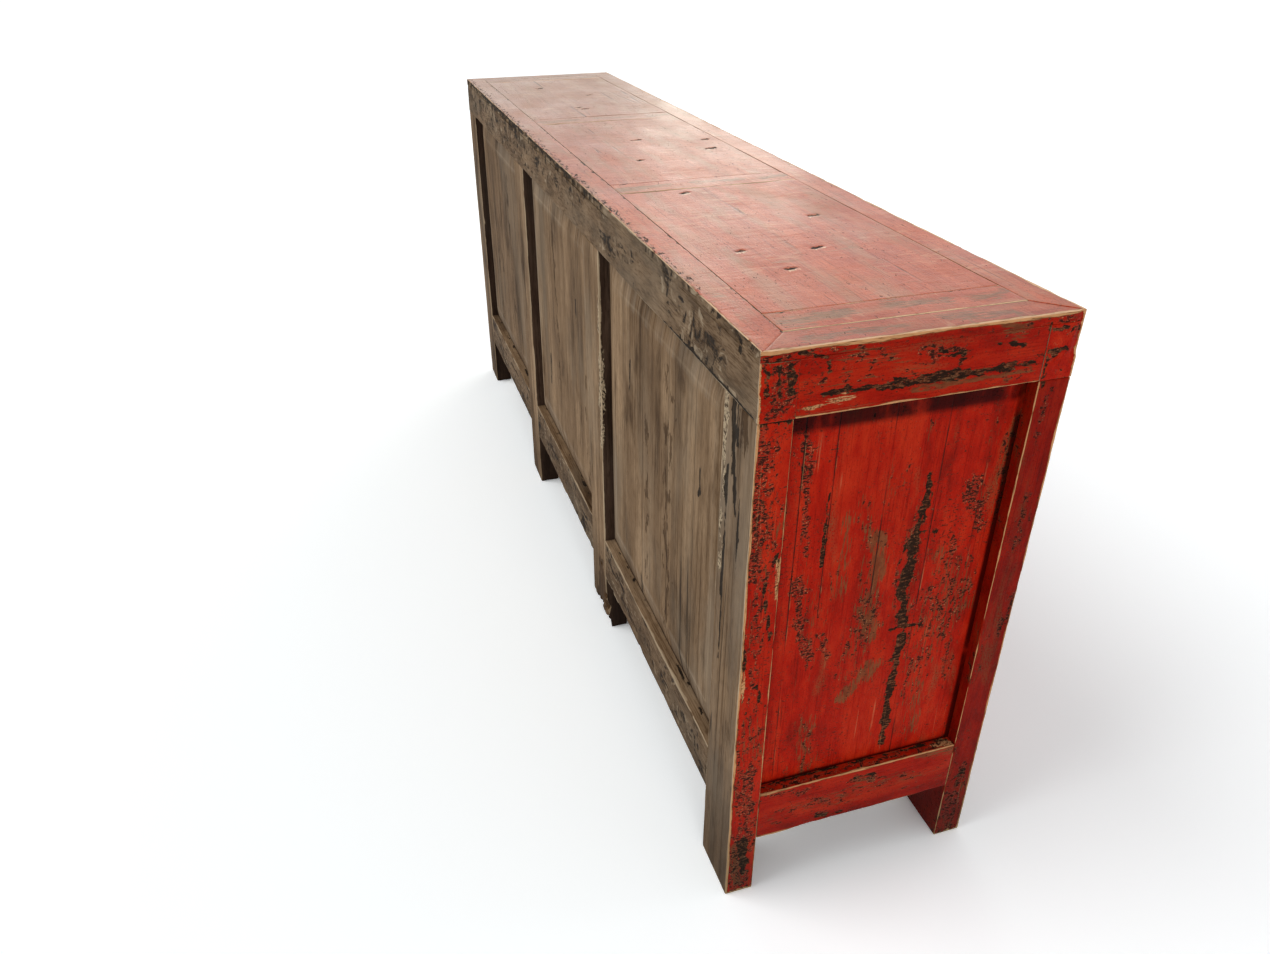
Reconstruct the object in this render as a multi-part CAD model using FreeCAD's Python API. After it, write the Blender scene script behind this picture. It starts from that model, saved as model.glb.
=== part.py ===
import FreeCAD, Part
import os

Vector = FreeCAD.Vector

# Lacquered sideboard, in millimetres. Z is up and the floor is z = 0.
# X runs along the length, left to right as seen from the front.
# The doors face -Y; the bare back faces +Y.

# Overall case
case_length = 2040.0
case_depth = 408.0
case_height = 890.0

# Posts: planks set broad face to the front and to the back
post_width = 95.0
post_thickness = 45.0
inner_post_offset = 314.0
post_tenon_width = 40.0
post_tenon_thickness = 15.0
post_tenon_height = 40.0
corner_tenon_shift = 15.0

# Top frame
top_rail_height = 85.0
long_rail_thickness = 46.0
end_rail_thickness = 47.0
mitre_depth = 14.0
end_rail_tenon_width = 18.0
end_rail_tenon_height = 36.0
end_rail_tenon_length = 28.0
end_rail_tenon_rise = 40.0

# Battens that cross the top between its panels
end_batten_width = 57.0
inner_batten_width = 62.0
batten_thickness = 32.0
batten_tenon_thickness = 12.0
batten_tenon_inset = 10.0
batten_tenon_length = 20.0

# Panels and the tongues that float in the frame
tongue_thickness = 8.0
tongue_length = 7.0
top_panel_thickness = 18.0
top_tongue_drop = 5.0
back_tongue_depth = 20.0
back_field_height = 8.0
back_field_border = 46.0
end_panel_recess = 18.0
end_panel_thickness = 12.0
end_tongue_depth = 20.0

# Bottom rails
front_foot_height = 114.0
front_bottom_rail_height = 90.0
back_foot_height = 136.0
back_bottom_rail_height = 86.0
end_foot_height = 114.0
end_bottom_rail_height = 90.0
end_bottom_rail_thickness = 40.0
bottom_tenon_thickness = 15.0
bottom_tenon_height = 58.0
bottom_tenon_length = 35.0
end_bottom_tenon_length = 25.0

# Floor and shelf, both laid on cross bearers
floor_thickness = 18.0
shelf_rest_height = 496.0
shelf_thickness = 18.0
shelf_setback = 62.0
bearer_width = 44.0
bearer_height = 32.0
bearer_tenon_width = 24.0
bearer_tenon_height = 16.0
bearer_tenon_length = 12.0
end_bearer_gap = 5.0
boards_per_layer = 2

# Doors
door_thickness = 26.0
door_setback = 2.0
door_hinge_gap = 1.0
door_meeting_gap = 2.0
door_top_gap = 2.0
door_sill_gap = 2.0
hinge_stile_width = 48.0
meeting_stile_width = 50.0
door_rail_height = 56.0
door_tenon_thickness = 8.0
door_tenon_height = 34.0
door_tenon_length = 26.0
door_panel_recess = 6.0
door_panel_thickness = 10.0
door_tongue_thickness = 6.0
door_tongue_inset = 2.0
door_stop_length = 60.0
door_stop_height = 20.0
door_stop_thickness = 17.0

# Wooden door pivots
pivot_radius = 9.0
pivot_clearance = 0.1
top_pivot_length = 12.0
bottom_pivot_length = 8.0
pivot_seat_gap = 0.3
pivot_top_play = 3.0

# Brass lock plates and drop pulls
plate_radius = 46.0
plate_thickness = 1.6
plate_edge_gap = 0.3
plate_rise = 20.0
eye_inset = 25.0
eye_radius = 4.0
eye_length = 11.0
shank_radius = 2.5
shank_depth = 20.0
pin_radius = 1.75
pin_offset = 8.0
pin_clearance = 0.08
pin_overhang = 0.5
ear_radius = 4.0
ear_thickness = 2.5
ear_gap = 0.3
ear_drop = 9.0
pull_thickness = 3.5
pull_top_drop = 6.0
pull_neck_width = 13.0
pull_round_drop = 30.0
pull_round_radius = 10.0

# Joint fits
fit_gap = 0.15
board_gap = 0.3

FRONT, BACK = -1, 1
LEFT, RIGHT = -1, 1

# Derived levels
post_top = case_height - top_rail_height
front_sill = front_foot_height + front_bottom_rail_height
back_sill = back_foot_height + back_bottom_rail_height
end_sill = end_foot_height + end_bottom_rail_height
floor_top = front_sill
floor_rest = floor_top - floor_thickness
shelf_top = shelf_rest_height + shelf_thickness

# The pulls stand proud of the doors, and the origin is under the middle of everything
hardware_projection = plate_thickness + pin_offset + ear_radius - door_setback
y_front = (hardware_projection - case_depth) / 2.0
y_back = y_front + case_depth


def centred(middle, width):
    """Range of a given width about its middle."""
    return (middle - width / 2.0, middle + width / 2.0)


def slab(x, y, z):
    """Box solid from three ranges, each in either order."""
    low = Vector(min(x), min(y), min(z))
    size = Vector(max(x), max(y), max(z)) - low
    return Part.makeBox(size.x, size.y, size.z, low)


def hollow(ranges, gap=fit_gap):
    """Mortise or groove that takes a tenon or tongue with a little play."""
    return slab(*[(min(r) - gap, max(r) + gap) for r in ranges])


def rod(radius, start, length, direction):
    """Round bar from a start point."""
    return Part.makeCylinder(radius, length, start, direction)


def joined(solid, additions):
    """One piece of wood or metal, worked with its tenons."""
    return solid.multiFuse(additions).removeSplitter() if additions else solid


def face_y(side, depth=0.0):
    """Y of the plane a given depth inside the front or the back."""
    return y_front + depth if side == FRONT else y_back - depth


def end_x(end, depth=0.0):
    """X of the plane a given depth inside the left or the right end."""
    return end * (case_length / 2.0 - depth)


# Plan of the posts and bays, left to right
post_names = ("left_corner", "left_inner", "right_inner", "right_corner")
post_spans = (
    (end_x(LEFT), end_x(LEFT, post_width)),
    centred(-inner_post_offset, post_width),
    centred(inner_post_offset, post_width),
    (end_x(RIGHT, post_width), end_x(RIGHT)),
)
bay_names = ("left", "middle", "right")
bay_spans = tuple((post_spans[i][1], post_spans[i + 1][0]) for i in range(len(bay_names)))
side_names = {FRONT: "front", BACK: "back"}
end_names = {LEFT: "left", RIGHT: "right"}
foot_heights = {FRONT: front_foot_height, BACK: back_foot_height}
sills = {FRONT: front_sill, BACK: back_sill}

# Plan of the top battens, left to right
batten_names = ("left_end", "left_inner", "right_inner", "right_end")
batten_spans = (
    (end_x(LEFT, end_rail_thickness), end_x(LEFT, end_rail_thickness + end_batten_width)),
    centred(-inner_post_offset, inner_batten_width),
    centred(inner_post_offset, inner_batten_width),
    (end_x(RIGHT, end_rail_thickness + end_batten_width), end_x(RIGHT, end_rail_thickness)),
)
top_bays = tuple((batten_spans[i][1], batten_spans[i + 1][0]) for i in range(len(bay_names)))
top_opening = (face_y(FRONT, long_rail_thickness), face_y(BACK, long_rail_thickness))

# Cross bearers stand between the posts, beside the end rails and at the inner posts
end_bearer_offset = end_bottom_rail_thickness + end_bearer_gap + bearer_width / 2.0
bearer_middles = (
    end_x(LEFT, end_bearer_offset),
    -inner_post_offset,
    inner_post_offset,
    end_x(RIGHT, end_bearer_offset),
)
bearer_levels = (floor_rest - bearer_height, shelf_rest_height - bearer_height)
inside_y = (face_y(FRONT, post_thickness), face_y(BACK, post_thickness))


def post_tenon(side, index):
    """Tenon on a post's head, into the long top rail."""
    shift = {0: corner_tenon_shift, len(post_spans) - 1: -corner_tenon_shift}.get(index, 0.0)
    x = centred(sum(post_spans[index]) / 2.0 + shift, post_tenon_width)
    y = centred(face_y(side, post_thickness / 2.0), post_tenon_thickness)
    return x, y, (post_top, post_top + post_tenon_height)


def bottom_tenon(side, shoulder, toward):
    """Tenon of a front or back bottom rail, from its shoulder into the post."""
    x = (shoulder, shoulder + toward * bottom_tenon_length)
    y = centred(face_y(side, post_thickness / 2.0), bottom_tenon_thickness)
    return x, y, centred((foot_heights[side] + sills[side]) / 2.0, bottom_tenon_height)


def end_bottom_tenon(end, side):
    """Tenon of an end bottom rail, into the corner post."""
    x = centred(end_x(end, end_bottom_rail_thickness / 2.0), bottom_tenon_thickness)
    y = (face_y(side, post_thickness), face_y(side, post_thickness - end_bottom_tenon_length))
    return x, y, centred((end_foot_height + end_sill) / 2.0, bottom_tenon_height)


def bearer_tenon(middle, level, side):
    """Stub tenon of a cross bearer, into a post's inner face."""
    y = (face_y(side, post_thickness), face_y(side, post_thickness - bearer_tenon_length))
    z = centred(level + bearer_height / 2.0, bearer_tenon_height)
    return centred(middle, bearer_tenon_width), y, z


def end_rail_tenon(end, side):
    """Tenon of an end top rail, into the long top rail."""
    x = centred(end_x(end, end_rail_thickness / 2.0), end_rail_tenon_width)
    y = (face_y(side, long_rail_thickness), face_y(side, long_rail_thickness - end_rail_tenon_length))
    return x, y, centred(post_top + end_rail_tenon_rise, end_rail_tenon_height)


def batten_tenon(span, side):
    """Tenon of a top batten, into the long top rail."""
    x = (span[0] + batten_tenon_inset, span[1] - batten_tenon_inset)
    y = (face_y(side, long_rail_thickness), face_y(side, long_rail_thickness - batten_tenon_length))
    return x, y, centred(case_height - batten_thickness / 2.0, batten_tenon_thickness)


def mitre_flap(end, side):
    """Mitred lip of an end top rail that laps over the long rail's corner."""
    inner = Vector(end_x(end, end_rail_thickness), face_y(side, long_rail_thickness), 0)
    corner = Vector(end_x(end), face_y(side), 0)
    outer = Vector(end_x(end), face_y(side, long_rail_thickness), 0)
    outline = Part.makePolygon([inner, corner, outer, inner])
    flap = Part.Face(outline).extrude(Vector(0, 0, mitre_depth))
    flap.translate(Vector(0, 0, case_height - mitre_depth))
    return flap


def grown(span, amount):
    """Range made longer at both ends."""
    return (min(span) - amount, max(span) + amount)


def top_tongue(bay):
    """Tongue all round a top panel."""
    z_top = case_height - top_tongue_drop
    z = (z_top - tongue_thickness, z_top)
    return grown(top_bays[bay], tongue_length), grown(top_opening, tongue_length), z


def back_tongue(bay):
    """Tongue all round a back panel."""
    y = (face_y(BACK, back_tongue_depth), face_y(BACK, back_tongue_depth + tongue_thickness))
    return grown(bay_spans[bay], tongue_length), y, grown((back_sill, post_top), tongue_length)


def end_tongue(end):
    """Tongue all round an end panel."""
    x = (end_x(end, end_tongue_depth), end_x(end, end_tongue_depth + tongue_thickness))
    return x, grown(inside_y, tongue_length), grown((end_sill, post_top), tongue_length)


class Leaf:
    """Plan of one door: where its hinge edge, meeting edge and pivot lie."""

    def __init__(self, bay, hand):
        low, high = bay_spans[bay]
        middle = (low + high) / 2.0
        self.name = f"{bay_names[bay]}_bay_{end_names[hand]}_door"
        self.inward = -hand
        self.hinge_x = (low if hand == LEFT else high) + self.inward * door_hinge_gap
        self.meeting_x = middle + hand * door_meeting_gap / 2.0
        self.width = abs(self.meeting_x - self.hinge_x)
        self.pivot_x = self.across(door_thickness / 2.0)
        self.front = face_y(FRONT, door_setback)
        self.pivot_y = self.front + door_thickness / 2.0
        self.low = front_sill + door_sill_gap
        self.high = post_top - door_top_gap
        self.plate_z = (self.low + self.high) / 2.0 + plate_rise
        self.eye_x = self.meeting_x - self.inward * eye_inset
        self.pin_y = self.front - plate_thickness - pin_offset

    def across(self, distance):
        """X at a distance from the hinge edge toward the meeting edge."""
        return self.hinge_x + self.inward * distance

    def span(self, start, stop):
        """X range between two distances from the hinge edge."""
        return (self.across(start), self.across(stop))

    def depth(self, start, stop):
        """Y range between two depths behind the door's front face."""
        return (self.front + start, self.front + stop)


leaves = [Leaf(bay, hand) for bay in range(len(bay_names)) for hand in (LEFT, RIGHT)]
socket_radius = pivot_radius + pivot_clearance


def build_post(side, index):
    """Post with its head tenon, mortised and grooved for what joins it."""
    x = post_spans[index]
    solid = slab(x, (face_y(side), face_y(side, post_thickness)), (0.0, post_top))
    cuts = []
    if index > 0:
        cuts.append(hollow(bottom_tenon(side, x[0], 1)))
    if index < len(post_spans) - 1:
        cuts.append(hollow(bottom_tenon(side, x[1], -1)))
    end = {0: LEFT, len(post_spans) - 1: RIGHT}.get(index)
    if end is not None:
        cuts.append(hollow(end_bottom_tenon(end, side)))
        cuts.append(hollow(end_tongue(end)))
    for level in bearer_levels:
        cuts.append(hollow(bearer_tenon(bearer_middles[index], level, side)))
    if side == BACK:
        for bay in range(max(index - 1, 0), min(index + 1, len(bay_names))):
            cuts.append(hollow(back_tongue(bay)))
    return joined(solid.cut(cuts), [slab(*post_tenon(side, index))])


def build_long_top_rail(side):
    """Long rail of the top frame, running over the posts from end to end."""
    y = (face_y(side), face_y(side, long_rail_thickness))
    solid = slab((end_x(LEFT), end_x(RIGHT)), y, (post_top, case_height))
    cuts = [hollow(post_tenon(side, index)) for index in range(len(post_spans))]
    cuts += [hollow(batten_tenon(span, side)) for span in batten_spans]
    for end in (LEFT, RIGHT):
        cuts.append(mitre_flap(end, side))
        cuts.append(hollow(end_rail_tenon(end, side)))
        cuts.append(hollow(end_tongue(end)))
    for bay in range(len(bay_names)):
        cuts.append(hollow(top_tongue(bay)))
        if side == BACK:
            cuts.append(hollow(back_tongue(bay)))
    if side == FRONT:
        depth = top_pivot_length + door_top_gap + pivot_top_play
        for leaf in leaves:
            start = Vector(leaf.pivot_x, leaf.pivot_y, leaf.high)
            cuts.append(rod(socket_radius, start, depth, Vector(0, 0, 1)))
    return solid.cut(cuts)


def build_end_top_rail(end):
    """End rail of the top frame: tenoned below, mitred on top."""
    x = (end_x(end), end_x(end, end_rail_thickness))
    solid = slab(x, top_opening, (post_top, case_height)).cut(hollow(end_tongue(end)))
    additions = [mitre_flap(end, side) for side in (FRONT, BACK)]
    additions += [slab(*end_rail_tenon(end, side)) for side in (FRONT, BACK)]
    return joined(solid, additions)


def build_batten(index):
    """Batten across the top, grooved for the panels beside it."""
    span = batten_spans[index]
    solid = slab(span, top_opening, (case_height - batten_thickness, case_height))
    bays = range(max(index - 1, 0), min(index + 1, len(bay_names)))
    solid = solid.cut([hollow(top_tongue(bay)) for bay in bays])
    return joined(solid, [slab(*batten_tenon(span, side)) for side in (FRONT, BACK)])


def build_top_panel(bay):
    """Flush top panel with a tongue all round."""
    z = (case_height - top_panel_thickness, case_height)
    return joined(slab(top_bays[bay], top_opening, z), [slab(*top_tongue(bay))])


def build_bottom_rail(side, bay):
    """Bottom rail of one bay, tenoned into the posts on either side."""
    x = bay_spans[bay]
    y = (face_y(side), face_y(side, post_thickness))
    solid = slab(x, y, (foot_heights[side], sills[side]))
    if side == BACK:
        solid = solid.cut(hollow(back_tongue(bay)))
    else:
        depth = bottom_pivot_length + pivot_seat_gap
        for leaf in leaves:
            start = Vector(leaf.pivot_x, leaf.pivot_y, front_sill - depth)
            solid = solid.cut(rod(socket_radius, start, depth, Vector(0, 0, 1)))
    tenons = [slab(*bottom_tenon(side, x[0], -1)), slab(*bottom_tenon(side, x[1], 1))]
    return joined(solid, tenons)


def build_end_bottom_rail(end):
    """Bottom rail across an end, grooved for the end panel."""
    x = (end_x(end), end_x(end, end_bottom_rail_thickness))
    solid = slab(x, inside_y, (end_foot_height, end_sill)).cut(hollow(end_tongue(end)))
    return joined(solid, [slab(*end_bottom_tenon(end, side)) for side in (FRONT, BACK)])


def outline_xz(x, z, y):
    """Closed rectangle in a plane that faces the back."""
    corners = [(x[0], z[0]), (x[1], z[0]), (x[1], z[1]), (x[0], z[1]), (x[0], z[0])]
    return Part.makePolygon([Vector(cx, y, cz) for cx, cz in corners])


def build_back_panel(bay):
    """Back panel with a field raised behind a sloping border."""
    x, z = bay_spans[bay], (back_sill, post_top)
    root = face_y(BACK, back_tongue_depth)
    foot = outline_xz(x, z, root)
    field = outline_xz(grown(x, -back_field_border), grown(z, -back_field_border), root + back_field_height)
    raised = Part.makeLoft([foot, field], True, True)
    return joined(slab(*back_tongue(bay)), [raised])


def build_end_panel(end):
    """Flat end panel with a tongue all round."""
    x = (end_x(end, end_panel_recess), end_x(end, end_panel_recess + end_panel_thickness))
    return joined(slab(x, inside_y, (end_sill, post_top)), [slab(*end_tongue(end))])


def build_bearers():
    """All cross bearers, each with a stub tenon at both ends."""
    pieces = []
    for level in bearer_levels:
        for middle in bearer_middles:
            bar = slab(centred(middle, bearer_width), inside_y, (level, level + bearer_height))
            stubs = [slab(*bearer_tenon(middle, level, side)) for side in (FRONT, BACK)]
            pieces.append(joined(bar, stubs))
    return Part.makeCompound(pieces)


def build_boards(x, y, z):
    """Boards laid side by side across the depth with a fine gap between them."""
    step = (y[1] - y[0] + board_gap) / boards_per_layer
    starts = [y[0] + step * number for number in range(boards_per_layer)]
    return Part.makeCompound([slab(x, (start, start + step - board_gap), z) for start in starts])


def build_floor():
    """Floor boards on the lower bearers."""
    x = (end_x(LEFT, end_bottom_rail_thickness + board_gap), end_x(RIGHT, end_bottom_rail_thickness + board_gap))
    return build_boards(x, grown(inside_y, -board_gap), (floor_rest, floor_top))


def build_shelf():
    """Shelf boards on the upper bearers, set back behind the doors."""
    depth = end_panel_recess + end_panel_thickness + board_gap
    y = (face_y(FRONT, shelf_setback), inside_y[1] - board_gap)
    return build_boards((end_x(LEFT, depth), end_x(RIGHT, depth)), y, (shelf_rest_height, shelf_top))


def build_door_stops():
    """Blocks under the front top rail that each pair of doors closes against."""
    start = face_y(FRONT, door_setback + door_thickness + board_gap)
    y = (start, start + door_stop_thickness)
    z = (post_top - door_stop_height, post_top)
    return Part.makeCompound([slab(centred(sum(bay) / 2.0, door_stop_length), y, z) for bay in bay_spans])


def door_rail_levels(leaf):
    """Height ranges of a door's two rails."""
    return (leaf.low, leaf.low + door_rail_height), (leaf.high - door_rail_height, leaf.high)


def door_tongue(leaf):
    """Tongue all round a door panel."""
    start = door_panel_recess + door_tongue_inset
    x = leaf.span(hinge_stile_width - tongue_length, leaf.width - meeting_stile_width + tongue_length)
    z = (leaf.low + door_rail_height - tongue_length, leaf.high - door_rail_height + tongue_length)
    return x, leaf.depth(start, start + door_tongue_thickness), z


def door_tenons(leaf, level):
    """The two tenons of a door rail, at the hinge stile and at the meeting stile."""
    y = centred(leaf.pivot_y, door_tenon_thickness)
    z = centred(sum(level) / 2.0, door_tenon_height)
    far = leaf.width - meeting_stile_width
    hinge_x = leaf.span(hinge_stile_width - door_tenon_length, hinge_stile_width)
    meeting_x = leaf.span(far, far + door_tenon_length)
    return (hinge_x, y, z), (meeting_x, y, z)


def build_door_frame(leaf):
    """Two stiles and two rails; the hinge stile carries its pivots."""
    y = leaf.depth(0.0, door_thickness)
    height = (leaf.low, leaf.high)
    up = Vector(0, 0, 1)
    axis = Vector(leaf.pivot_x, leaf.pivot_y, 0)
    radius = door_thickness / 2.0
    edge = rod(radius, axis + Vector(0, 0, leaf.low), leaf.high - leaf.low, up)
    pin_low = front_sill - bottom_pivot_length
    pins = rod(pivot_radius, axis + Vector(0, 0, pin_low), leaf.high + top_pivot_length - pin_low, up)
    hinge_stile = joined(slab(leaf.span(radius, hinge_stile_width), y, height), [edge, pins])
    meeting_stile = slab(leaf.span(leaf.width - meeting_stile_width, leaf.width), y, height)
    groove = hollow(door_tongue(leaf))
    shank_start = Vector(leaf.eye_x, leaf.front, leaf.plate_z)
    meeting_cuts = [groove, rod(shank_radius + fit_gap, shank_start, shank_depth + fit_gap, Vector(0, 1, 0))]
    hinge_cuts = [groove]
    rails = []
    for level in door_rail_levels(leaf):
        at_hinge, at_meeting = door_tenons(leaf, level)
        hinge_cuts.append(hollow(at_hinge))
        meeting_cuts.append(hollow(at_meeting))
        bar = slab(leaf.span(hinge_stile_width, leaf.width - meeting_stile_width), y, level).cut(groove)
        rails.append(joined(bar, [slab(*at_hinge), slab(*at_meeting)]))
    return Part.makeCompound([hinge_stile.cut(hinge_cuts), meeting_stile.cut(meeting_cuts)] + rails)


def build_door_panel(leaf):
    """Door panel sunk behind its frame, with a tongue all round."""
    x = leaf.span(hinge_stile_width, leaf.width - meeting_stile_width)
    y = leaf.depth(door_panel_recess, door_panel_recess + door_panel_thickness)
    z = (leaf.low + door_rail_height, leaf.high - door_rail_height)
    return joined(slab(x, y, z), [slab(*door_tongue(leaf))])


def build_lock_plate(leaf):
    """Half of a round brass plate, with the eye that carries the pull."""
    out = Vector(0, -1, 0)
    middle = Vector(leaf.meeting_x, leaf.front, leaf.plate_z)
    disc = rod(plate_radius, middle, plate_thickness, out)
    start = leaf.width - plate_radius * 2.0
    keep = slab(
        leaf.span(start, leaf.width - plate_edge_gap),
        leaf.depth(-plate_thickness, 0.0),
        centred(leaf.plate_z, plate_radius * 3.0),
    )
    eye_root = Vector(leaf.eye_x, leaf.front, leaf.plate_z)
    hole = rod(shank_radius + fit_gap, eye_root, plate_thickness, out)
    plate = disc.common(keep).cut(hole)
    stem = rod(eye_radius, eye_root + out * plate_thickness, eye_length, out)
    shank = rod(shank_radius, eye_root + out * plate_thickness, plate_thickness + shank_depth, -out)
    reach = eye_radius + ear_gap + ear_thickness + pin_overhang
    pin = rod(pin_radius, Vector(leaf.eye_x - reach, leaf.pin_y, leaf.plate_z), reach * 2.0, Vector(1, 0, 0))
    return Part.makeCompound([plate, joined(stem, [shank, pin])])


def build_pull(leaf):
    """Drop pull: a tongue of brass hung by two ears on the eye's pin."""
    y = centred(leaf.pin_y, pull_thickness)
    top = leaf.plate_z - pull_top_drop
    round_z = leaf.plate_z - pull_round_drop
    start = Vector(leaf.eye_x, y[0], round_z)
    tip = rod(pull_round_radius, start, pull_thickness, Vector(0, 1, 0))
    neck = slab(centred(leaf.eye_x, pull_neck_width), y, (round_z, top))
    pieces = [tip]
    bores = []
    for hand in (LEFT, RIGHT):
        inner = leaf.eye_x + hand * (eye_radius + ear_gap)
        outer = inner + hand * ear_thickness
        begin = Vector(min(inner, outer), leaf.pin_y, leaf.plate_z)
        pieces.append(rod(ear_radius, begin, ear_thickness, Vector(1, 0, 0)))
        pieces.append(slab((inner, outer), y, (leaf.plate_z - ear_drop, leaf.plate_z)))
        bores.append(rod(pin_radius + pin_clearance, begin, ear_thickness, Vector(1, 0, 0)))
    return joined(neck, pieces).cut(bores)


def build_all():
    """Every node of the sideboard by name."""
    nodes = {}
    for side, side_name in side_names.items():
        for index, post in enumerate(post_names):
            nodes[f"{side_name}_{post}_post"] = build_post(side, index)
        nodes[f"{side_name}_top_rail"] = build_long_top_rail(side)
        for bay, bay_name in enumerate(bay_names):
            nodes[f"{side_name}_{bay_name}_bottom_rail"] = build_bottom_rail(side, bay)
    for end, end_name in end_names.items():
        nodes[f"{end_name}_end_top_rail"] = build_end_top_rail(end)
        nodes[f"{end_name}_end_bottom_rail"] = build_end_bottom_rail(end)
        nodes[f"{end_name}_end_panel"] = build_end_panel(end)
    for index, batten in enumerate(batten_names):
        nodes[f"{batten}_top_batten"] = build_batten(index)
    for bay, bay_name in enumerate(bay_names):
        nodes[f"{bay_name}_top_panel"] = build_top_panel(bay)
        nodes[f"{bay_name}_back_panel"] = build_back_panel(bay)
    nodes["cross_bearers"] = build_bearers()
    nodes["floor_boards"] = build_floor()
    nodes["shelf_boards"] = build_shelf()
    nodes["door_stops"] = build_door_stops()
    for leaf in leaves:
        nodes[f"{leaf.name}_frame"] = build_door_frame(leaf)
        nodes[f"{leaf.name}_panel"] = build_door_panel(leaf)
        nodes[f"{leaf.name}_lock_plate"] = build_lock_plate(leaf)
        nodes[f"{leaf.name}_pull"] = build_pull(leaf)
    return nodes


def main():
    """Write one file for each node."""
    os.makedirs("parts", exist_ok=True)
    for name, shape in build_all().items():
        shape.exportStep(os.path.join("parts", f"{name}.step"))
        print(name, len(shape.Solids), round(shape.Volume / 1000.0, 1))


if __name__ == "__main__":
    main()
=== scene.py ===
"""Dresses a worn red-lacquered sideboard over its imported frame.

Each board of the frame is drawn again as a worn board: a rounded section carried along the grain, with
chipped arrises, slow swells, hollows and scars. Finishes are procedural and read the board's own grain from
its vertices.
"""

from __future__ import annotations

import logging
import math
import zlib
from dataclasses import dataclass, field, replace
from enum import Enum, IntEnum

import bpy
import numpy as np
from mathutils import Matrix, Vector

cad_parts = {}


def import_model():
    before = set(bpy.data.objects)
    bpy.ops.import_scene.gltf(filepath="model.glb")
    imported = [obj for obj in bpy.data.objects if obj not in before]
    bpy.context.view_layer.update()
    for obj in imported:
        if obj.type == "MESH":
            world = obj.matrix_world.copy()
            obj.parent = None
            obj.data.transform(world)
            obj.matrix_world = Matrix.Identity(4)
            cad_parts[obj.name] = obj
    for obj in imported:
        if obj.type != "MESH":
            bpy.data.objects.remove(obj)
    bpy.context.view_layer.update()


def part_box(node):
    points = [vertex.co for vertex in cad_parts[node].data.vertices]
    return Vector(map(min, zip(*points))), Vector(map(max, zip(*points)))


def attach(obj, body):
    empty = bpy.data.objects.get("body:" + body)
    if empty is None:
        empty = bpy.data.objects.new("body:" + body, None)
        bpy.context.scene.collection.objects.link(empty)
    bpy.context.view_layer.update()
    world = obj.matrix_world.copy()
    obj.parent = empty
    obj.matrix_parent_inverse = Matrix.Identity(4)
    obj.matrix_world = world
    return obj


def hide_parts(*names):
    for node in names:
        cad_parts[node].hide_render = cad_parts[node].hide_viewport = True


LOG = logging.getLogger("sideboard")
MM = 0.001
CASE = "case"
BAYS = ("left", "middle", "right")
POSTS = ("left_corner", "left_inner", "right_inner", "right_corner")
BATTENS = ("left_end", "left_inner", "right_inner", "right_end")
MIDDLE = 0.5
SHARP = 0.05 * MM
QUARTER = 0.5 * math.pi
SMOOTH_ANGLE = math.radians(50.0)
FULL_ROUND = 0.998

HASH_AXES = np.array([73856093, 19349663, 83492791])
HASH_SEED = 2654435
HASH_ROUNDS = ((15, 2246822519), (13, 3266489917))
WORD = 0xFFFFFFFF
SHORT = 0xFFFF
FRACTAL_SPAN = 1.4

# Cells to the metre of the noises that shape a board.
SWELL_CELLS = 16.0
SWELL_CELLS_ALONG = 7.0
WAVE_CELLS = 13.0
ARRIS_CELLS = 24.0
OUTLINE_CELLS = 48.0
ROUGH_CELLS = 130.0
BREAK_CELLS = 26.0

Triple = tuple[float, float, float]
Row = tuple[float, ...]
Array = np.ndarray
Box = tuple[Array, Array]


class Side(IntEnum):
    """The six sides of a board, named as one stands before the front."""

    LEFT = 0
    RIGHT = 1
    FRONT = 2
    BACK = 3
    UNDER = 4
    TOP = 5

    @property
    def axis(self) -> int:
        """Axis that the side faces along: 0, 1 or 2."""
        return self.value // 2

    @property
    def sign(self) -> int:
        """Which way along its axis the side faces."""
        return 1 if self.value % 2 else -1

    @property
    def opposite(self) -> Side:
        """The side across the board."""
        return Side(self.value ^ 1)

    @property
    def flat(self) -> list[int]:
        """The two axes that lie in the side."""
        return [axis for axis in range(3) if axis != self.axis]

    @property
    def word(self) -> str:
        """The side's name within the names of nodes."""
        return self.name.lower()


class Coat(IntEnum):
    """The finishes that a face can take."""

    RED = 0
    FADED = 1
    BACK = 2
    RAIL = 3
    REVEAL = 4
    INSIDE = 5
    BRASS = 6


class Hurt(Enum):
    """What a mark has done to a surface; the value names the vertex layer that holds it."""

    SPLIT = "split"
    CRAZED = "crazed"
    RUBBED = "rubbed"
    FLAKED = "flaked"


class Slot(Enum):
    """The record's material slots."""

    LACQUER = "red_lacquer"
    BACK = "bare_back_wood"
    INSIDE = "bare_inside_wood"
    BRASS = "aged_brass"


# Chance hurts in the order that they come, each with its usual width in mm.
CHANCE_HURTS = (
    (Hurt.CRAZED, 11.0), (Hurt.CRAZED, 11.0), (Hurt.RUBBED, 12.0), (Hurt.RUBBED, 12.0), (Hurt.SPLIT, 5.0),
    (Hurt.FLAKED, 4.0),
)
CHANCE_LENGTH = (15.0, 110.0)
CHANCE_STRAY = (-6.0, 6.0)
CHANCE_WIDTH = (0.6, 1.3)
CHANCE_STRENGTH = (0.55, 0.95)
CHANCE_DEPTH = 0.3


def smooth_step(value: Array, low: float, high: float) -> Array:
    """Soft step from 0 at low to 1 at high: three t squared less two t cubed."""
    share = np.clip((value - low) / (high - low), 0.0, 1.0)
    return share * share * (3.0 - 2.0 * share)


def seed_of(label: str) -> int:
    """A fixed number for a board's name, so that each board has its own grain."""
    return zlib.crc32(label.encode()) % 100000


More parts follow.
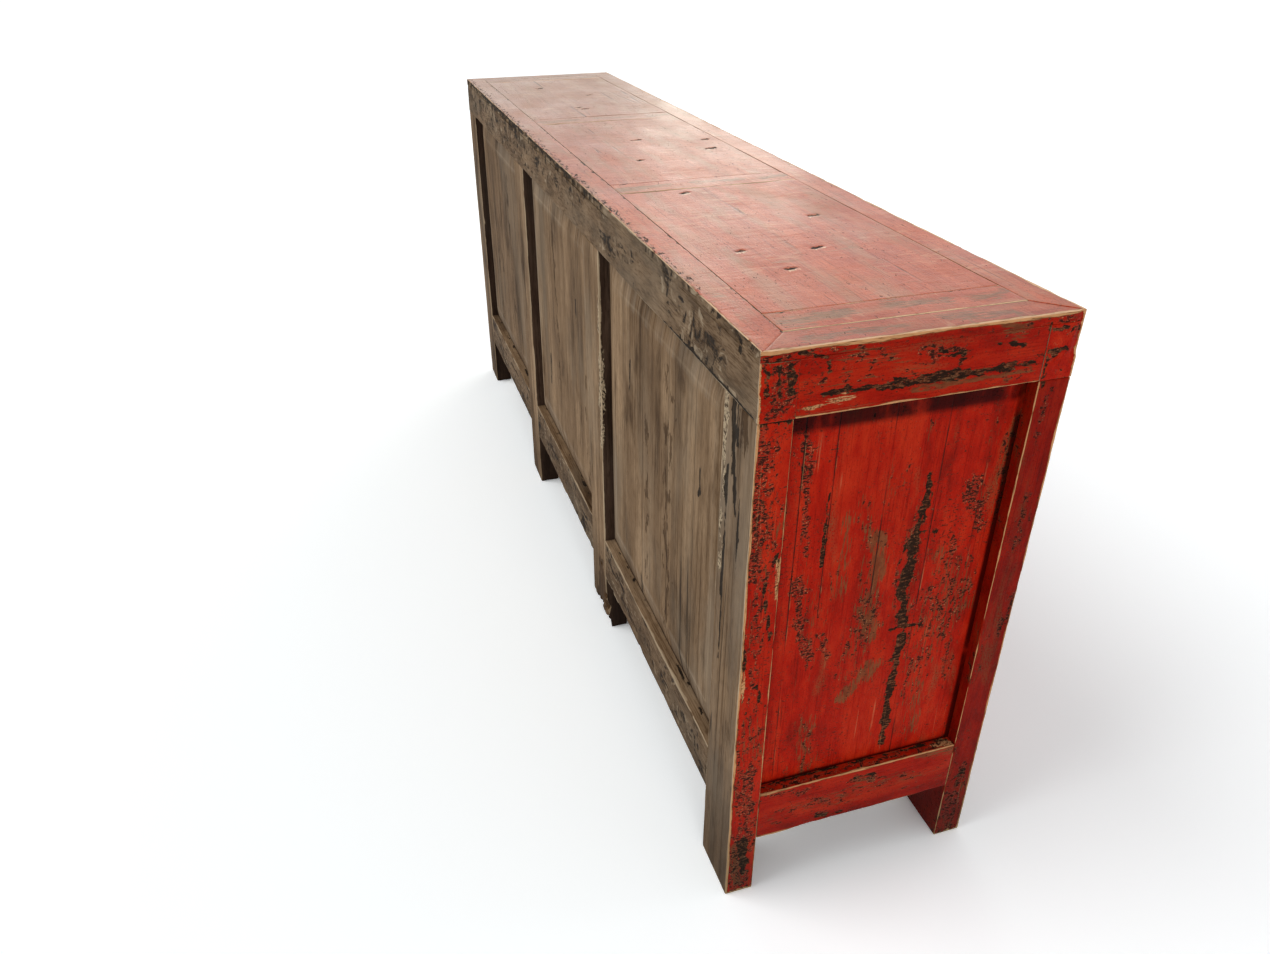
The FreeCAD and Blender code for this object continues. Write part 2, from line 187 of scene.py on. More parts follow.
def value_noise(points: Array, seed: int) -> Array:
    """Smooth random field.

    Every corner of a unit lattice has a fixed random value from a hash of its place, and a point takes the
    blend of the eight corners round it, with a soft step along each axis.

    Args:
        points: Places, with the three coordinates on the last axis.
        seed: Which field to take.

    Returns:
        Values from -1 to 1, one for each point.
    """
    cell = np.floor(points).astype(np.int64)
    share = smooth_step(points - cell, 0.0, 1.0)
    total = np.zeros(points.shape[:-1])
    for corner in np.ndindex(2, 2, 2):
        key = (cell + np.array(corner)) @ HASH_AXES + seed * HASH_SEED
        for shift, factor in HASH_ROUNDS:
            key = (key ^ (key >> shift)) * factor & WORD
        weight = np.where(np.array(corner) == 1, share, 1.0 - share).prod(axis=-1)
        total += weight * ((key >> 8 & SHORT) / (0.5 * SHORT) - 1.0)
    return total


def fractal(points: Array, seed: int, octaves: int = 3) -> Array:
    """Value noise summed over octaves, each twice as fine and half as strong.

    Args:
        points: Places, in units of the coarsest cell.
        seed: Which field to take.
        octaves: How many sizes of noise are summed.

    Returns:
        Values from about -1 to 1.
    """
    layers = [value_noise(points * 2.0**step, seed + step) * 0.5**step for step in range(octaves)]
    return np.sum(layers, axis=0) / FRACTAL_SPAN


@dataclass(frozen=True)
class Mark:
    """A hurt on one side of a board: a stroke between two points, in mm on the side's two own axes."""

    side: Side
    start: tuple[float, float]
    end: tuple[float, float]
    width: float
    depth: float = 0.0
    strength: float = 1.0
    hurt: Hurt = Hurt.CRAZED

    def meets(self, box: Box) -> bool:
        """Whether the stroke, and half its width more, reaches a board's box.

        Args:
            box: Lowest and highest corner of the board in metres.

        Returns:
            True where it does.
        """
        low, high = (corner[self.side.flat] for corner in box)
        ends = np.array([self.start, self.end]) * MM
        reach = 1.5 * self.width * MM
        return bool(np.all(ends.min(axis=0) - reach < high) and np.all(ends.max(axis=0) + reach > low))

    def cover(self, points: Array, wander: Array) -> Array:
        """How far each point lies inside the stroke.

        The distance to the stroke's middle line, stretched by a wandering noise, is turned into 1 inside and
        0 beyond the width by a soft step.

        Args:
            points: Places in metres.
            wander: Noise at each of them.

        Returns:
            Values from 0 to the mark's strength.
        """
        flat = points[..., self.side.flat] / MM
        start = np.array(self.start)
        run = np.array(self.end) - start
        share = np.clip((flat - start) @ run / max(run @ run, 1e-9), 0.0, 1.0)
        reach = np.linalg.norm(flat - start - share[..., None] * run, axis=-1) * (1.0 + 0.8 * wander)
        return self.strength * (1.0 - smooth_step(reach, 0.25 * self.width, self.width))


def marked(side: Side, rows: dict[Hurt, tuple[Row, ...]], turn: int = 1) -> tuple[Mark, ...]:
    """Marks on one side.

    Args:
        side: Side that they lie on.
        rows: For each kind of hurt, rows of the stroke's two ends, its width, depth and strength.
        turn: -1 to count the first of the side's axes the other way.

    Returns:
        The marks.
    """
    return tuple(
        Mark(side, (turn * a, b), (turn * c, d), *rest, hurt=hurt)
        for hurt, found in rows.items()
        for a, b, c, d, *rest in found
    )


def scatter(label: str, side: Side, box: Box, along: int, count: int) -> tuple[Mark, ...]:
    """Chance hurts on one face.

    Args:
        label: Name that the chances are seeded from.
        side: Side that they lie on.
        box: Lowest and highest corner of the board in metres.
        along: Axis of the grain, which the strokes follow.
        count: How many there are.

    Returns:
        The marks.
    """
    rng = np.random.default_rng(seed_of(f"{label} {side.name}"))
    low, high = (corner[side.flat] for corner in box)
    marks = []
    for number in range(count):
        hurt, usual = CHANCE_HURTS[number % len(CHANCE_HURTS)]
        start = rng.uniform(low, high) / MM
        run = np.where(np.array(side.flat) == along, rng.uniform(*CHANCE_LENGTH), rng.uniform(*CHANCE_STRAY))
        width = usual * rng.uniform(*CHANCE_WIDTH)
        strength = rng.uniform(*CHANCE_STRENGTH)
        marks.append(Mark(side, tuple(start), tuple(start + run), width, CHANCE_DEPTH, strength, hurt))
    return tuple(marks)


@dataclass(frozen=True)
class Worn:
    """An arris between two sides that is rubbed bare: width of the band and depth of its chips in mm."""

    first: Side
    second: Side
    width: float
    chip: float = 0.0


@dataclass(frozen=True)
class Patch:
    """A stretch of one side, between two planes in metres across an axis, that takes another finish."""

    side: Side
    axis: int
    low: float
    high: float
    coat: Coat


@dataclass
class Shell:
    """A closed mesh held as whole arrays, with the layers that the finishes read at each vertex."""

    points: Array
    quads: Array
    tris: Array
    quad_coats: Array
    tri_coats: Array
    layers: dict[str, Array]

    @staticmethod
    def joined(shells: list[Shell]) -> Shell:
        """Several shells as one, each with its vertex numbers moved on by those before it.

        Args:
            shells: Shells that have the same layers.

        Returns:
            The whole.
        """
        starts = np.cumsum([0] + [len(shell.points) for shell in shells])
        rows = [
            (shell.points, shell.quads + start, shell.tris + start, shell.quad_coats, shell.tri_coats)
            for shell, start in zip(shells, starts)
        ]
        names = shells[0].layers
        layers = {name: np.concatenate([shell.layers[name] for shell in shells]) for name in names}
        return Shell(*(np.concatenate(column) for column in zip(*rows)), layers)

    def to_object(self, name: str, palette: Palette) -> bpy.types.Object:
        """Makes the Blender object.

        Args:
            name: Name of the object and its mesh.
            palette: Where the materials of its coats come from.

        Returns:
            The object, linked to the scene.
        """
        mesh = bpy.data.meshes.new(name)
        corners = np.concatenate([self.quads.ravel(), self.tris.ravel()]).astype(np.int32)
        quad_starts = np.arange(len(self.quads)) * 4
        tri_starts = len(self.quads) * 4 + np.arange(len(self.tris)) * 3
        coats = np.concatenate([self.quad_coats, self.tri_coats])
        used, places = np.unique(coats, return_inverse=True)
        mesh.vertices.add(len(self.points))
        mesh.vertices.foreach_set("co", self.points.astype(np.float32).ravel())
        mesh.loops.add(len(corners))
        mesh.loops.foreach_set("vertex_index", corners)
        mesh.polygons.add(len(coats))
        mesh.polygons.foreach_set("loop_start", np.concatenate([quad_starts, tri_starts]).astype(np.int32))
        mesh.polygons.foreach_set("material_index", places.astype(np.int32))
        mesh.polygons.foreach_set("use_smooth", np.ones(len(coats), dtype=bool))
        mesh.update(calc_edges=True)
        mesh.set_sharp_from_angle(angle=SMOOTH_ANGLE)
        for label, values in self.layers.items():
            kind, entry = ("FLOAT_VECTOR", "vector") if values.ndim == 2 else ("FLOAT", "value")
            layer = mesh.attributes.new(label, kind, "POINT")
            layer.data.foreach_set(entry, values.astype(np.float32).ravel())
        for coat in used:
            mesh.materials.append(palette.made[Coat(int(coat))])
        made = bpy.data.objects.new(name, mesh)
        bpy.context.scene.collection.objects.link(made)
        return made


@dataclass
class Board:
    """One worn board: a rounded rectangle carried along the grain between two ends.

    Sizes are in metres and joints in mm. Coats, waves and painted shade along the rims are given by side; a
    side without a coat is inside wood. A mitred board keeps its full length on the side named; tight sides
    have sharp arrises; soil, which on some boards stands in for shade, and silvering run from 0 to 1 all
    over.
    """

    label: str
    box: Box
    along: int
    coats: dict[Side, Coat]
    arris: float = 1.2 * MM
    end_arris: float = 1.0 * MM
    swell: float = 0.35 * MM
    pitch: float = 5.0 * MM
    # Painted shade along these sides, to these widths: the shadow under a rail and the shade of a recess,
    # with some soot.
    soot: dict[Side, float] = field(default_factory=dict)
    # Darkening all over: a darker tone on the end rails, painted shade on the front corner posts, a painted
    # fall of light on the right back panel.
    soil: float = 0.0
    silvered: float = 0.0
    joints: tuple[float, ...] = ()
    joint_axis: int = 0
    cap_rings: int = 2
    mitre: Side | None = None
    mitre_ratio: float = 1.0
    round_side: Side | None = None
    tight: tuple[Side, ...] = ()
    worn: tuple[Worn, ...] = ()
    marks: tuple[Mark, ...] = ()
    broken: tuple[Mark, ...] = ()
    patches: tuple[Patch, ...] = ()
    wavy: dict[Side, float] = field(default_factory=dict)
    arc_steps: int = 4

    def __post_init__(self) -> None:
        """Takes the corners and the seed, and keeps only the marks that reach the board."""
        self.low, self.high = self.box
        self.half = 0.5 * (self.high - self.low)
        self.seed = seed_of(self.label)
        self.marks = tuple(mark for mark in self.marks if mark.meets(self.box))

    def plane(self, side: Side) -> float:
        """Where a side lies along its axis."""
        return (self.high if side.sign > 0 else self.low)[side.axis]

    def wander(self, points: Array) -> Array:
        """Noise that the outlines of marks wander by."""
        return fractal(points * OUTLINE_CELLS, self.seed + 80)

    def across(self) -> tuple[int, int]:
        """The two axes of the section, so that first, second and along are right-handed."""
        return (self.along + 1) % 3, (self.along + 2) % 3

    def side_ring(self) -> list[Side]:
        """The four long sides in the order that the section passes them."""
        first, second = self.across()
        return [Side(2 * first + 1), Side(2 * second + 1), Side(2 * first), Side(2 * second)]

    def stations(self) -> tuple[Array, Array, Array, Array]:
        """The rings from end to end.

        Each end has a few rings on its flat face and three round its arris, as quarter turns of a circle.

        Returns:
            For each ring its share of the length, how far it stands back from the end, how far the section
            is drawn in, and the scale of the section.
        """
        length = self.high[self.along] - self.low[self.along]
        turn = np.radians([90.0, 60.0, 30.0])
        back_off = self.end_arris * (1.0 - np.sin(turn))
        inset = self.end_arris * (1.0 - np.cos(turn))
        steps = max(2, round((length - 2.0 * self.end_arris) / self.pitch))
        body = np.linspace(0.0, 1.0, steps + 1)
        cap = np.linspace(0.0, 1.0, self.cap_rings + 2)[1:-1]
        share = np.r_[np.zeros(len(cap) + 3), body, np.ones(len(cap) + 3)]
        flat = np.zeros_like(cap)
        stand = np.r_[flat, back_off, np.full(len(body), self.end_arris), back_off[::-1], flat]
        rim = np.full_like(cap, self.end_arris)
        drawn = np.r_[rim, inset, np.zeros(len(body)), inset[::-1], rim]
        scale = np.r_[cap, np.ones(len(body) + 6), cap[::-1]]
        return share, stand, drawn, scale

    def radii(self, share: Array) -> Array:
        """Radius of the four long arrises at each ring.

        A radius wanders a little along the grain; a chipped arris is cut back where a finer noise runs high.

        Args:
            share: Share of the length of each ring.

        Returns:
            An array of rings by four arrises.
        """
        ring = self.side_ring()
        place = self.low[self.along] + share * (self.high[self.along] - self.low[self.along])
        full = FULL_ROUND * min(self.half[axis] for axis in self.across())
        columns = []
        for corner in range(4):
            pair = {ring[corner], ring[(corner + 1) % 4]}
            chips = [edge.chip * MM for edge in self.worn if {edge.first, edge.second} == pair]
            seed = self.seed + 17 * corner
            lane = np.zeros((len(place), 3))
            lane[:, 0] = place * ARRIS_CELLS
            lane[:, 1] = corner + MIDDLE
            radius = self.arris * (1.0 + 0.45 * fractal(lane, seed))
            radius += max(chips, default=0.0) * smooth_step(fractal(lane * 1.9, seed + 5), 0.05, 0.75)
            if pair & set(self.tight):
                radius = np.full_like(place, SHARP)
            if self.round_side in pair:
                radius = np.full_like(place, full)
            columns.append(radius)
        return np.minimum(np.stack(columns, axis=-1), full)

    def section(self) -> tuple[Array, Array, Array, Array, Array]:
        """Every section point of every ring.

        A ring is four straight sides and four quarter circles; a side runs from the end of one quarter
        circle to the start of the next, and the ring's half widths are drawn in and scaled towards the
        board's ends.

        Returns:
            The points across the grain, their outward directions, the side each segment belongs to, and the
            rings' shares and distances back from the ends.
        """
        share, stand, drawn, scale = self.stations()
        first, second = self.across()
        wide = (self.half[first] - drawn) * scale
        tall = (self.half[second] - drawn) * scale
        radius = np.maximum(self.radii(share) - drawn[:, None], SHARP) * scale[:, None]
        signs = np.array([[1, 1], [-1, 1], [-1, -1], [1, -1]])
        centres = np.stack([wide, tall], axis=-1)[:, None, :] * signs - radius[..., None] * signs
        ring = self.side_ring()
        half_arc = self.arc_steps // 2
        blocks, outward, sides = [], [], []
        for corner in range(4):
            angle = QUARTER * corner
            facing = np.array([math.cos(angle), math.sin(angle)])
            start = centres[:, corner - 1] + radius[:, corner - 1, None] * facing
            end = centres[:, corner] + radius[:, corner, None] * facing
            run = 2.0 * (self.half[second] if corner % 2 == 0 else self.half[first])
            count = max(2, round(run / self.pitch))
            tight = min(0.8 * MM / run, 0.25 / count)
            steps = np.r_[0.0, tight, np.arange(1, count) / count, 1.0 - tight, 1.0]
            turn = angle + QUARTER * np.arange(1, self.arc_steps) / self.arc_steps
            spoke = np.stack([np.cos(turn), np.sin(turn)], axis=-1)
            blocks.append(start[:, None, :] + steps[:, None] * (end - start)[:, None, :])
            blocks.append(centres[:, corner, None, :] + radius[:, corner, None, None] * spoke)
            outward += [np.tile(facing, (len(steps), 1)), spoke]
            sides.append(np.full(len(steps) - 1 + half_arc, ring[corner]))
            sides.append(np.full(self.arc_steps - half_arc, ring[(corner + 1) % 4]))
        middle = 0.5 * (self.high + self.low)[[first, second]]
        points = np.concatenate(blocks, axis=1) + middle
        return points, np.concatenate(outward), np.concatenate(sides), share, stand

    def end_inset(self, flat: Array) -> Array:
        """How far the ends stand in: nothing when square, in proportion from the outer side when mitred.

        Args:
            flat: Section points.

        Returns:
            Distances in metres.
        """
        if self.mitre is None:
            return np.zeros(flat.shape[:-1])
        column = self.across().index(self.mitre.axis)
        return np.abs(flat[..., column] - self.plane(self.mitre)) * self.mitre_ratio

    def relief(self, points: Array, outward: Array) -> Array:
        """Height of the surface above its true plane.

        Slow swells of noise, kept below the plane; a wavy side wanders along the grain; a mark sinks by its
        depth with a rough bottom.

        Args:
            points: Places in metres.
            outward: Outward direction at each point.

        Returns:
            Heights in metres.
        """
        stretch = np.full(3, SWELL_CELLS)
        stretch[self.along] = SWELL_CELLS_ALONG
        height = self.swell * (fractal(points * stretch, self.seed) - 0.6)
        lane = np.zeros_like(points)
        lane[..., 0] = points[..., self.along] * WAVE_CELLS
        for side, reach in self.wavy.items():
            wave = fractal(lane + side * 3.7, self.seed + 40, 5) - 0.3
            height += self.facing(outward, side) * reach * wave
        wander = self.wander(points)
        rough = 0.75 + 0.5 * fractal(points * ROUGH_CELLS, self.seed + 60)
        for mark in self.marks:
            height -= self.facing(outward, mark.side) * mark.cover(points, wander) * mark.depth * MM * rough
        return height

    def break_off(self, points: Array) -> None:
        """Breaks wood away: no point stands out past its side's plane less the rough depth of a break.

        Args:
            points: Places in metres, which are moved.
        """
        for mark in self.broken:
            axis, sign = mark.side.axis, mark.side.sign
            rough = 0.8 + 0.6 * fractal(points * BREAK_CELLS, self.seed + 70)
            depth = mark.cover(points, self.wander(points)) * mark.depth * MM * rough
            floor = self.plane(mark.side) * sign - depth
            points[..., axis] = sign * np.minimum(points[..., axis] * sign, floor)

    @staticmethod
    def facing(outward: Array, side: Side) -> Array:
        """1 where a point faces out of a side, 0 where it faces another way, soft round the arris."""
        return smooth_step(outward[..., side.axis] * side.sign, 0.3, 0.8)

    def wear_at(self, points: Array) -> Array:
        """Closeness to the worn arrises: 1 on an arris, falling evenly to 0 at the width of its band.

        Args:
            points: Places in metres.

        Returns:
            Values from 0 to 1.
        """
        level = np.zeros(points.shape[:-1])
        for edge in self.worn:
            gaps = [points[..., side.axis] - self.plane(side) for side in (edge.first, edge.second)]
            level = np.maximum(level, 1.0 - np.hypot(*gaps) / (edge.width * MM))
        return np.clip(level, 0.0, 1.0)

    def grime_at(self, points: Array) -> Array:
        """Soil all over, and painted shade that falls softly from full at the named sides to none at their
        width.

        Args:
            points: Places in metres.

        Returns:
            Values from 0 to 1.
        """
        level = np.full(points.shape[:-1], self.soil)
        for side, width in self.soot.items():
            gap = np.abs(points[..., side.axis] - self.plane(side))
            level = np.maximum(level, smooth_step(1.0 - gap / width, 0.0, 0.25))
        return level

    def pale_at(self, points: Array) -> Array:
        """Silvering by age, the same all over a plain board."""
        return np.full(points.shape[:-1], self.silvered)

    def plank_at(self, points: Array) -> Array:
        """Count across glued-up planks: whole numbers on the joints, halves at the two outer edges.

        Args:
            points: Places in metres.

        Returns:
            The count at each point.
        """
        if not self.joints:
            return np.full(points.shape[:-1], MIDDLE)
        ends = (self.low[self.joint_axis], *[joint * MM for joint in self.joints], self.high[self.joint_axis])
        count = len(self.joints)
        return np.interp(points[..., self.joint_axis], ends, (MIDDLE, *range(1, count + 1), count + MIDDLE))

    def layers(self, points: Array, outward: Array) -> dict[str, Array]:
        """What the finishes read at each vertex.

        Args:
            points: True places in metres, before the relief.
            outward: Outward direction at each point.

        Returns:
            The grain's coordinates, the hurts, and the board's wear, soil with painted shade, planks and
            silvering.
        """
        shift = np.random.default_rng(self.seed).uniform(-6.0, 6.0, 3)
        found = {"grain": points[:, [*self.across(), self.along]] + shift}
        found.update({hurt.value: np.zeros(len(points)) for hurt in Hurt})
        wander = self.wander(points)
        for mark in self.marks:
            cover = mark.cover(points, wander) * self.facing(outward, mark.side)
            found[mark.hurt.value] = np.maximum(found[mark.hurt.value], cover)
        found["wear"] = self.wear_at(points)
        found["grime"] = self.grime_at(points)
        found["plank"] = self.plank_at(points)
        found["pale"] = self.pale_at(points)
        return found

    def shell(self) -> Shell:
        """Builds the board.

        The section points of each ring get their place along the grain from the two ends, then move out or
        in by the relief. Neighbouring rings are joined by quads and the two end faces close in a fan on a
        middle point.

        Returns:
            The closed shell.
        """
        flat, facing, sides, share, stand = self.section()
        rings, around = flat.shape[:2]
        first, second = self.across()
        caps = np.r_[: self.cap_rings, rings - self.cap_rings : rings]
        inset = self.end_inset(flat)
        start = self.low[self.along] + inset + stand[:, None]
        end = self.high[self.along] - inset - stand[:, None]
        true = np.empty((rings, around, 3))
        true[..., [first, second]] = flat
        true[..., self.along] = start * (1.0 - share[:, None]) + end * share[:, None]
        outward = np.zeros((rings, around, 3))
        outward[..., [first, second]] = facing
        outward[: self.cap_rings] = -np.eye(3)[self.along]
        outward[-self.cap_rings :] = np.eye(3)[self.along]
        height = self.relief(true, outward)
        height[caps] = 0.0
        points = true + outward * height[..., None]
        self.break_off(points)
        ends = np.repeat(0.5 * (self.high + self.low)[None], 2, axis=0)
        middle_inset = self.end_inset(ends[:, [first, second]])
        ends[0, self.along] = self.low[self.along] + middle_inset[0]
        ends[1, self.along] = self.high[self.along] - middle_inset[1]
        every = np.concatenate([points.reshape(-1, 3), ends])
        true = np.concatenate([true.reshape(-1, 3), ends])
        outward = np.concatenate([outward.reshape(-1, 3), outward[[0, -1], 0]])
        quads, tris = ring_faces(rings, around)
        coats = self.face_coats(sides, rings, every, quads, tris)
        return Shell(every, quads, tris, *coats, self.layers(true, outward))

    def face_coats(
        self, sides: Array, rings: int, points: Array, quads: Array, tris: Array
    ) -> tuple[Array, Array]:
        """The finish of every face, from the side it lies on and then from the patches.

        Args:
            sides: Side of each segment of the section.
            rings: How many rings there are.
            points: Every vertex.
            quads: Vertex numbers of the quads.
            tris: Vertex numbers of the triangles on the two ends.

        Returns:
            Finish numbers of the quads and of the triangles.
        """
        near, far = Side(2 * self.along), Side(2 * self.along + 1)
        quad_sides = np.repeat(sides[None], rings - 1, axis=0)
        quad_sides[: self.cap_rings + 1] = near
        quad_sides[-self.cap_rings - 1 :] = far
        quad_sides = quad_sides.ravel()
        tri_sides = np.repeat([near, far], len(sides))
        lookup = np.array([self.coats.get(side, Coat.INSIDE) for side in Side])
        quad_coats, tri_coats = lookup[quad_sides], lookup[tri_sides]
        for patch in self.patches:
            for coats, faces, face_sides in ((quad_coats, quads, quad_sides), (tri_coats, tris, tri_sides)):
                centre = points[faces, patch.axis].mean(axis=1)
                inside = (face_sides == patch.side) & (centre > patch.low) & (centre < patch.high)
                coats[inside] = patch.coat
        return quad_coats, tri_coats


def ring_faces(rings: int, around: int) -> tuple[Array, Array]:
    """Faces of a closed tube: quads between neighbouring rings and a fan at each end.

    Args:
        rings: How many rings follow each other.
        around: How many points each ring has.

    Returns:
        Vertex numbers of the quads and of the triangles; the two middle points of the ends come after the
        rings.
    """
    number = np.arange(rings * around).reshape(rings, around)
    ahead = np.roll(number, -1, axis=1)
    quads = np.stack([number[:-1], ahead[:-1], ahead[1:], number[1:]], axis=-1).reshape(-1, 4)
    pole = np.full(around, rings * around)
    near = np.stack([pole, ahead[0], number[0]], axis=-1)
    far = np.stack([pole + 1, number[-1], ahead[-1]], axis=-1)
    return quads, np.concatenate([near, far])


@dataclass
class FieldedPanel(Board):
    """A panel whose outer face falls away in a bevel from a raised field to its rim."""

    face: Side = Side.BACK
    bevel: float = 46.0 * MM
    drop: float = 8.0 * MM
    rim: float = 7.0 * MM

    def from_rim(self, points: Array) -> Array:
        """Distance of each point from the inner edge of the rim, over the face."""
        return np.minimum(points - self.low, self.high - points)[..., self.face.flat].min(axis=-1) - self.rim

    def relief(self, points: Array, outward: Array) -> Array:
        """The board's own relief, less the bevel.

        Inside the rim the face rises with the distance from the nearest edge, evenly, to full height at the
        width of the bevel; the turn into the field is softened over a fifth of the bevel.

        Args:
            points: Places in metres.
            outward: Outward direction at each point.

        Returns:
            Heights in metres.
        """
        wander = 1.0 + 0.1 * fractal(points * 6.0, self.seed + 9)
        share = np.clip(self.from_rim(points) / (self.bevel * wander), 0.0, 1.25)
        rise = np.where(share < 0.8, share, 1.0 - np.maximum(1.2 - share, 0.0) ** 2 * 1.25)
        fall = self.drop * (1.0 - np.minimum(rise, 1.0))
        return super().relief(points, outward) - fall * self.facing(outward, self.face)

    def pale_at(self, points: Array) -> Array:
        """Painted light on the bevel: a paler band, strongest along its turn into the field, none within it.

        Args:
            points: Places in metres.

        Returns:
            Values that are 1 along the turn into the field.
        """
        share = self.from_rim(points) / self.bevel
        band = 0.55 * smooth_step(share, 0.0, 0.2) * (1.0 - smooth_step(share, 1.0, 1.25))
        return np.maximum(band, 1.0 - np.abs(share - 0.98) / 0.22)


@dataclass(frozen=True, eq=False)
class Value:
    """An output of a node, which sums, products and soft steps can be taken of."""

    bench: Bench
    socket: bpy.types.NodeSocket

    def __add__(self, other: Input) -> Value:
        """Sum of two values."""
        return self.bench.maths("ADD", self, other)

    def __sub__(self, other: Input) -> Value:
        """This value less another."""
        return self.bench.maths("SUBTRACT", self, other)

    def __rsub__(self, other: Input) -> Value:
        """Another value less this one."""
        return self.bench.maths("SUBTRACT", other, self)

    def __mul__(self, other: Input) -> Value:
        """Product of two values."""
        return self.bench.maths("MULTIPLY", self, other)

    def step(self, low: Input, high: Input) -> Value:
        """Soft step from 0 at low to 1 at high; falling when low is the larger."""
        inputs = {"Value": self, "From Min": low, "From Max": high}
        return self.bench.node("MapRange", inputs, interpolation_type="SMOOTHSTEP")

    def line(self, width: float) -> Value:
        """1 where a noise passes its middle, 0 farther off than the width: thin wandering lines."""
        return self.bench.maths("ABSOLUTE", self - MIDDLE).step(width, 0.3 * width)


Input = Value | float | tuple[float, ...]


def tinted(colour: Triple, share: float) -> Triple:
    """A colour made darker, to a share of its light."""
    return tuple(share * part for part in colour)


class Bench:
    """Wires the shader nodes of one material or world."""

    def __init__(self, owner: bpy.types.Material | bpy.types.World) -> None:
        """Starts with no nodes.

        Args:
            owner: What the nodes are for.
        """
        owner.use_nodes = True
        self.tree = owner.node_tree
        self.tree.nodes.clear()

    def node(self, kind: str, inputs: dict[str | int, Input], output: str | int = 0, **options: str) -> Value:
        """Adds one shader node.

        Args:
            kind: Which node it is.
            inputs: What its sockets are linked to or set to.
            output: Which of its outputs is wanted.
            **options: Settings of the node itself.

        Returns:
            The output.
        """
        made = self.tree.nodes.new(f"ShaderNode{kind}")
        for option, setting in options.items():
            setattr(made, option, setting)
        for place, value in inputs.items():
            socket = made.inputs[place]
            if isinstance(value, Value):
                self.tree.links.new(value.socket, socket)
            else:
                socket.default_value = (*value, 1.0) if socket.type == "RGBA" else value
        return Value(self, made.outputs[output])

    def surface(self, kind: str, shader: Value) -> None:
        """Ends the wiring with a shader as the surface of a material or world."""
        output = self.tree.nodes.new(f"ShaderNodeOutput{kind}")
        self.tree.links.new(shader.socket, output.inputs["Surface"])

    def attribute(self, name: str, output: str = "Fac") -> Value:
        """A value stored at the vertices."""
        return self.node("Attribute", {}, output, attribute_name=name)

    def place(self) -> Value:
        """The point's place on the object at rest."""
        return self.node("TexCoord", {}, "Object")

    def part(self, vector: Value, axis: int) -> Value:
        """One of the three numbers of a vector."""
        return self.node("SeparateXYZ", {0: vector}, axis)

    def turned(self, along: int) -> Value:
        """The place on a plain board, turned so that its grain runs along the last axis."""
        place = self.place()
        return self.node("CombineXYZ", {turn: self.part(place, (along + 1 + turn) % 3) for turn in range(3)})

    def noise(self, vector: Value, factors: Row, detail: float = 3.0, distortion: float = 0.0) -> Value:
        """Cloudy noise.

        Args:
            vector: Coordinates in metres.
            factors: Cells to the metre along each of them, or across the grain and along it.
            detail: How many finer layers are added.
            distortion: How far the noise is stirred.

        Returns:
            A value about a half.
        """
        cells = factors if len(factors) == 3 else (factors[0], *factors)
        scaled = self.node("VectorMath", {0: vector, 1: cells}, operation="MULTIPLY")
        inputs = {"Vector": scaled, "Scale": 1.0, "Detail": detail, "Roughness": 0.6}
        return self.node("TexNoise", inputs | {"Distortion": distortion})

    def torn(self, level: Value, noise: Value) -> Value:
        """Where a hurt of some level shows, its outline torn by a noise."""
        return ((noise - MIDDLE) * 3.2 + level).step(0.42, 0.62) * level.step(0.03, 0.15)

    def hurt(self, kind: Hurt, noise: Value) -> Value:
        """Where one kind of hurt of the board shows."""
        return self.torn(self.attribute(kind.value), noise)

    def maths(self, operation: str, first: Input, second: Input = 0.0) -> Value:
        """One sum of two values."""
        return self.node("Math", {0: first, 1: second}, operation=operation)

    def larger(self, *values: Value) -> Value:
        """The largest of several values.

        Args:
            *values: What is compared.

        Returns:
            The largest.
        """
        found = values[0]
        for value in values[1:]:
            found = self.maths("MAXIMUM", found, value)
        return found

    def plank_joint(self, plank: Input, ragged: Value) -> Value:
        """1 on the joints between planks, where their count is whole, with a ragged edge."""
        return (self.maths("PINGPONG", plank, MIDDLE) + (ragged - MIDDLE) * 0.02).step(0.018, 0.008)

    def plank_tone(self, plank: Input) -> Value:
        """A random value for each plank."""
        return self.node("TexWhiteNoise", {"W": self.maths("FLOOR", plank)}, "Value", noise_dimensions="1D")

    def mix(self, share: Input, first: Input, second: Input, blend: str = "MIX") -> Value:
        """The first colour where share is 0, the second, or what the two blend to, where it is 1."""
        inputs = {0: share, 6: first, 7: second}
        return self.node("Mix", inputs, 2, data_type="RGBA", blend_type=blend)

    def shade(self, colour: Value, share: Input, tint: Input) -> Value:
        """A colour multiplied by a tint, as far as share says."""
        return self.mix(share, colour, tint, "MULTIPLY")

    def ramp(self, value: Value, *stops: tuple[float, Triple]) -> Value:
        """Colours spread along a value.

        Args:
            value: Where along the colours each point is.
            *stops: Places of the colours, and the colours.

        Returns:
            The colour.
        """
        found = self.node("ValToRGB", {0: value})
        band = found.socket.node.color_ramp.elements
        for _ in range(len(stops) - 2):
            band.new(MIDDLE)
        for element, (place, colour) in zip(band, stops):
            element.position = place
            element.color = (*colour, 1.0)
        return found

    def dress(
        self, colour: Value, rough: Value, height: Value, depth: float, sheen: float = 0.5, metal: float = 0.0
    ) -> None:
        """Puts the surface together.

        Args:
            colour: Base colour.
            rough: Roughness.
            height: Height of the bump.
            depth: Metres that a height of 1 stands for.
            sheen: Strength of the sheen.
            metal: 1 for metal.
        """
        normal = self.node("Bump", {"Strength": 1.0, "Distance": depth, "Height": height})
        inputs = {"Base Color": colour, "Roughness": rough, "Normal": normal}
        inputs |= {"Specular IOR Level": sheen, "Metallic": metal}
        self.surface("Material", self.node("BsdfPrincipled", inputs))


@dataclass(frozen=True)
class Finish:
    """What every finish has: a name, and a way to make its material."""

    name: str

    def wire(self, bench: Bench) -> None:
        """Wires the surface; each kind of finish has its own way."""
        raise NotImplementedError(bench)

    def material(self) -> bpy.types.Material:
        """Makes the material.

        Returns:
            The material, under the finish's name.
        """
        made = bpy.data.materials.new(self.name)
        self.wire(Bench(made))
        return made


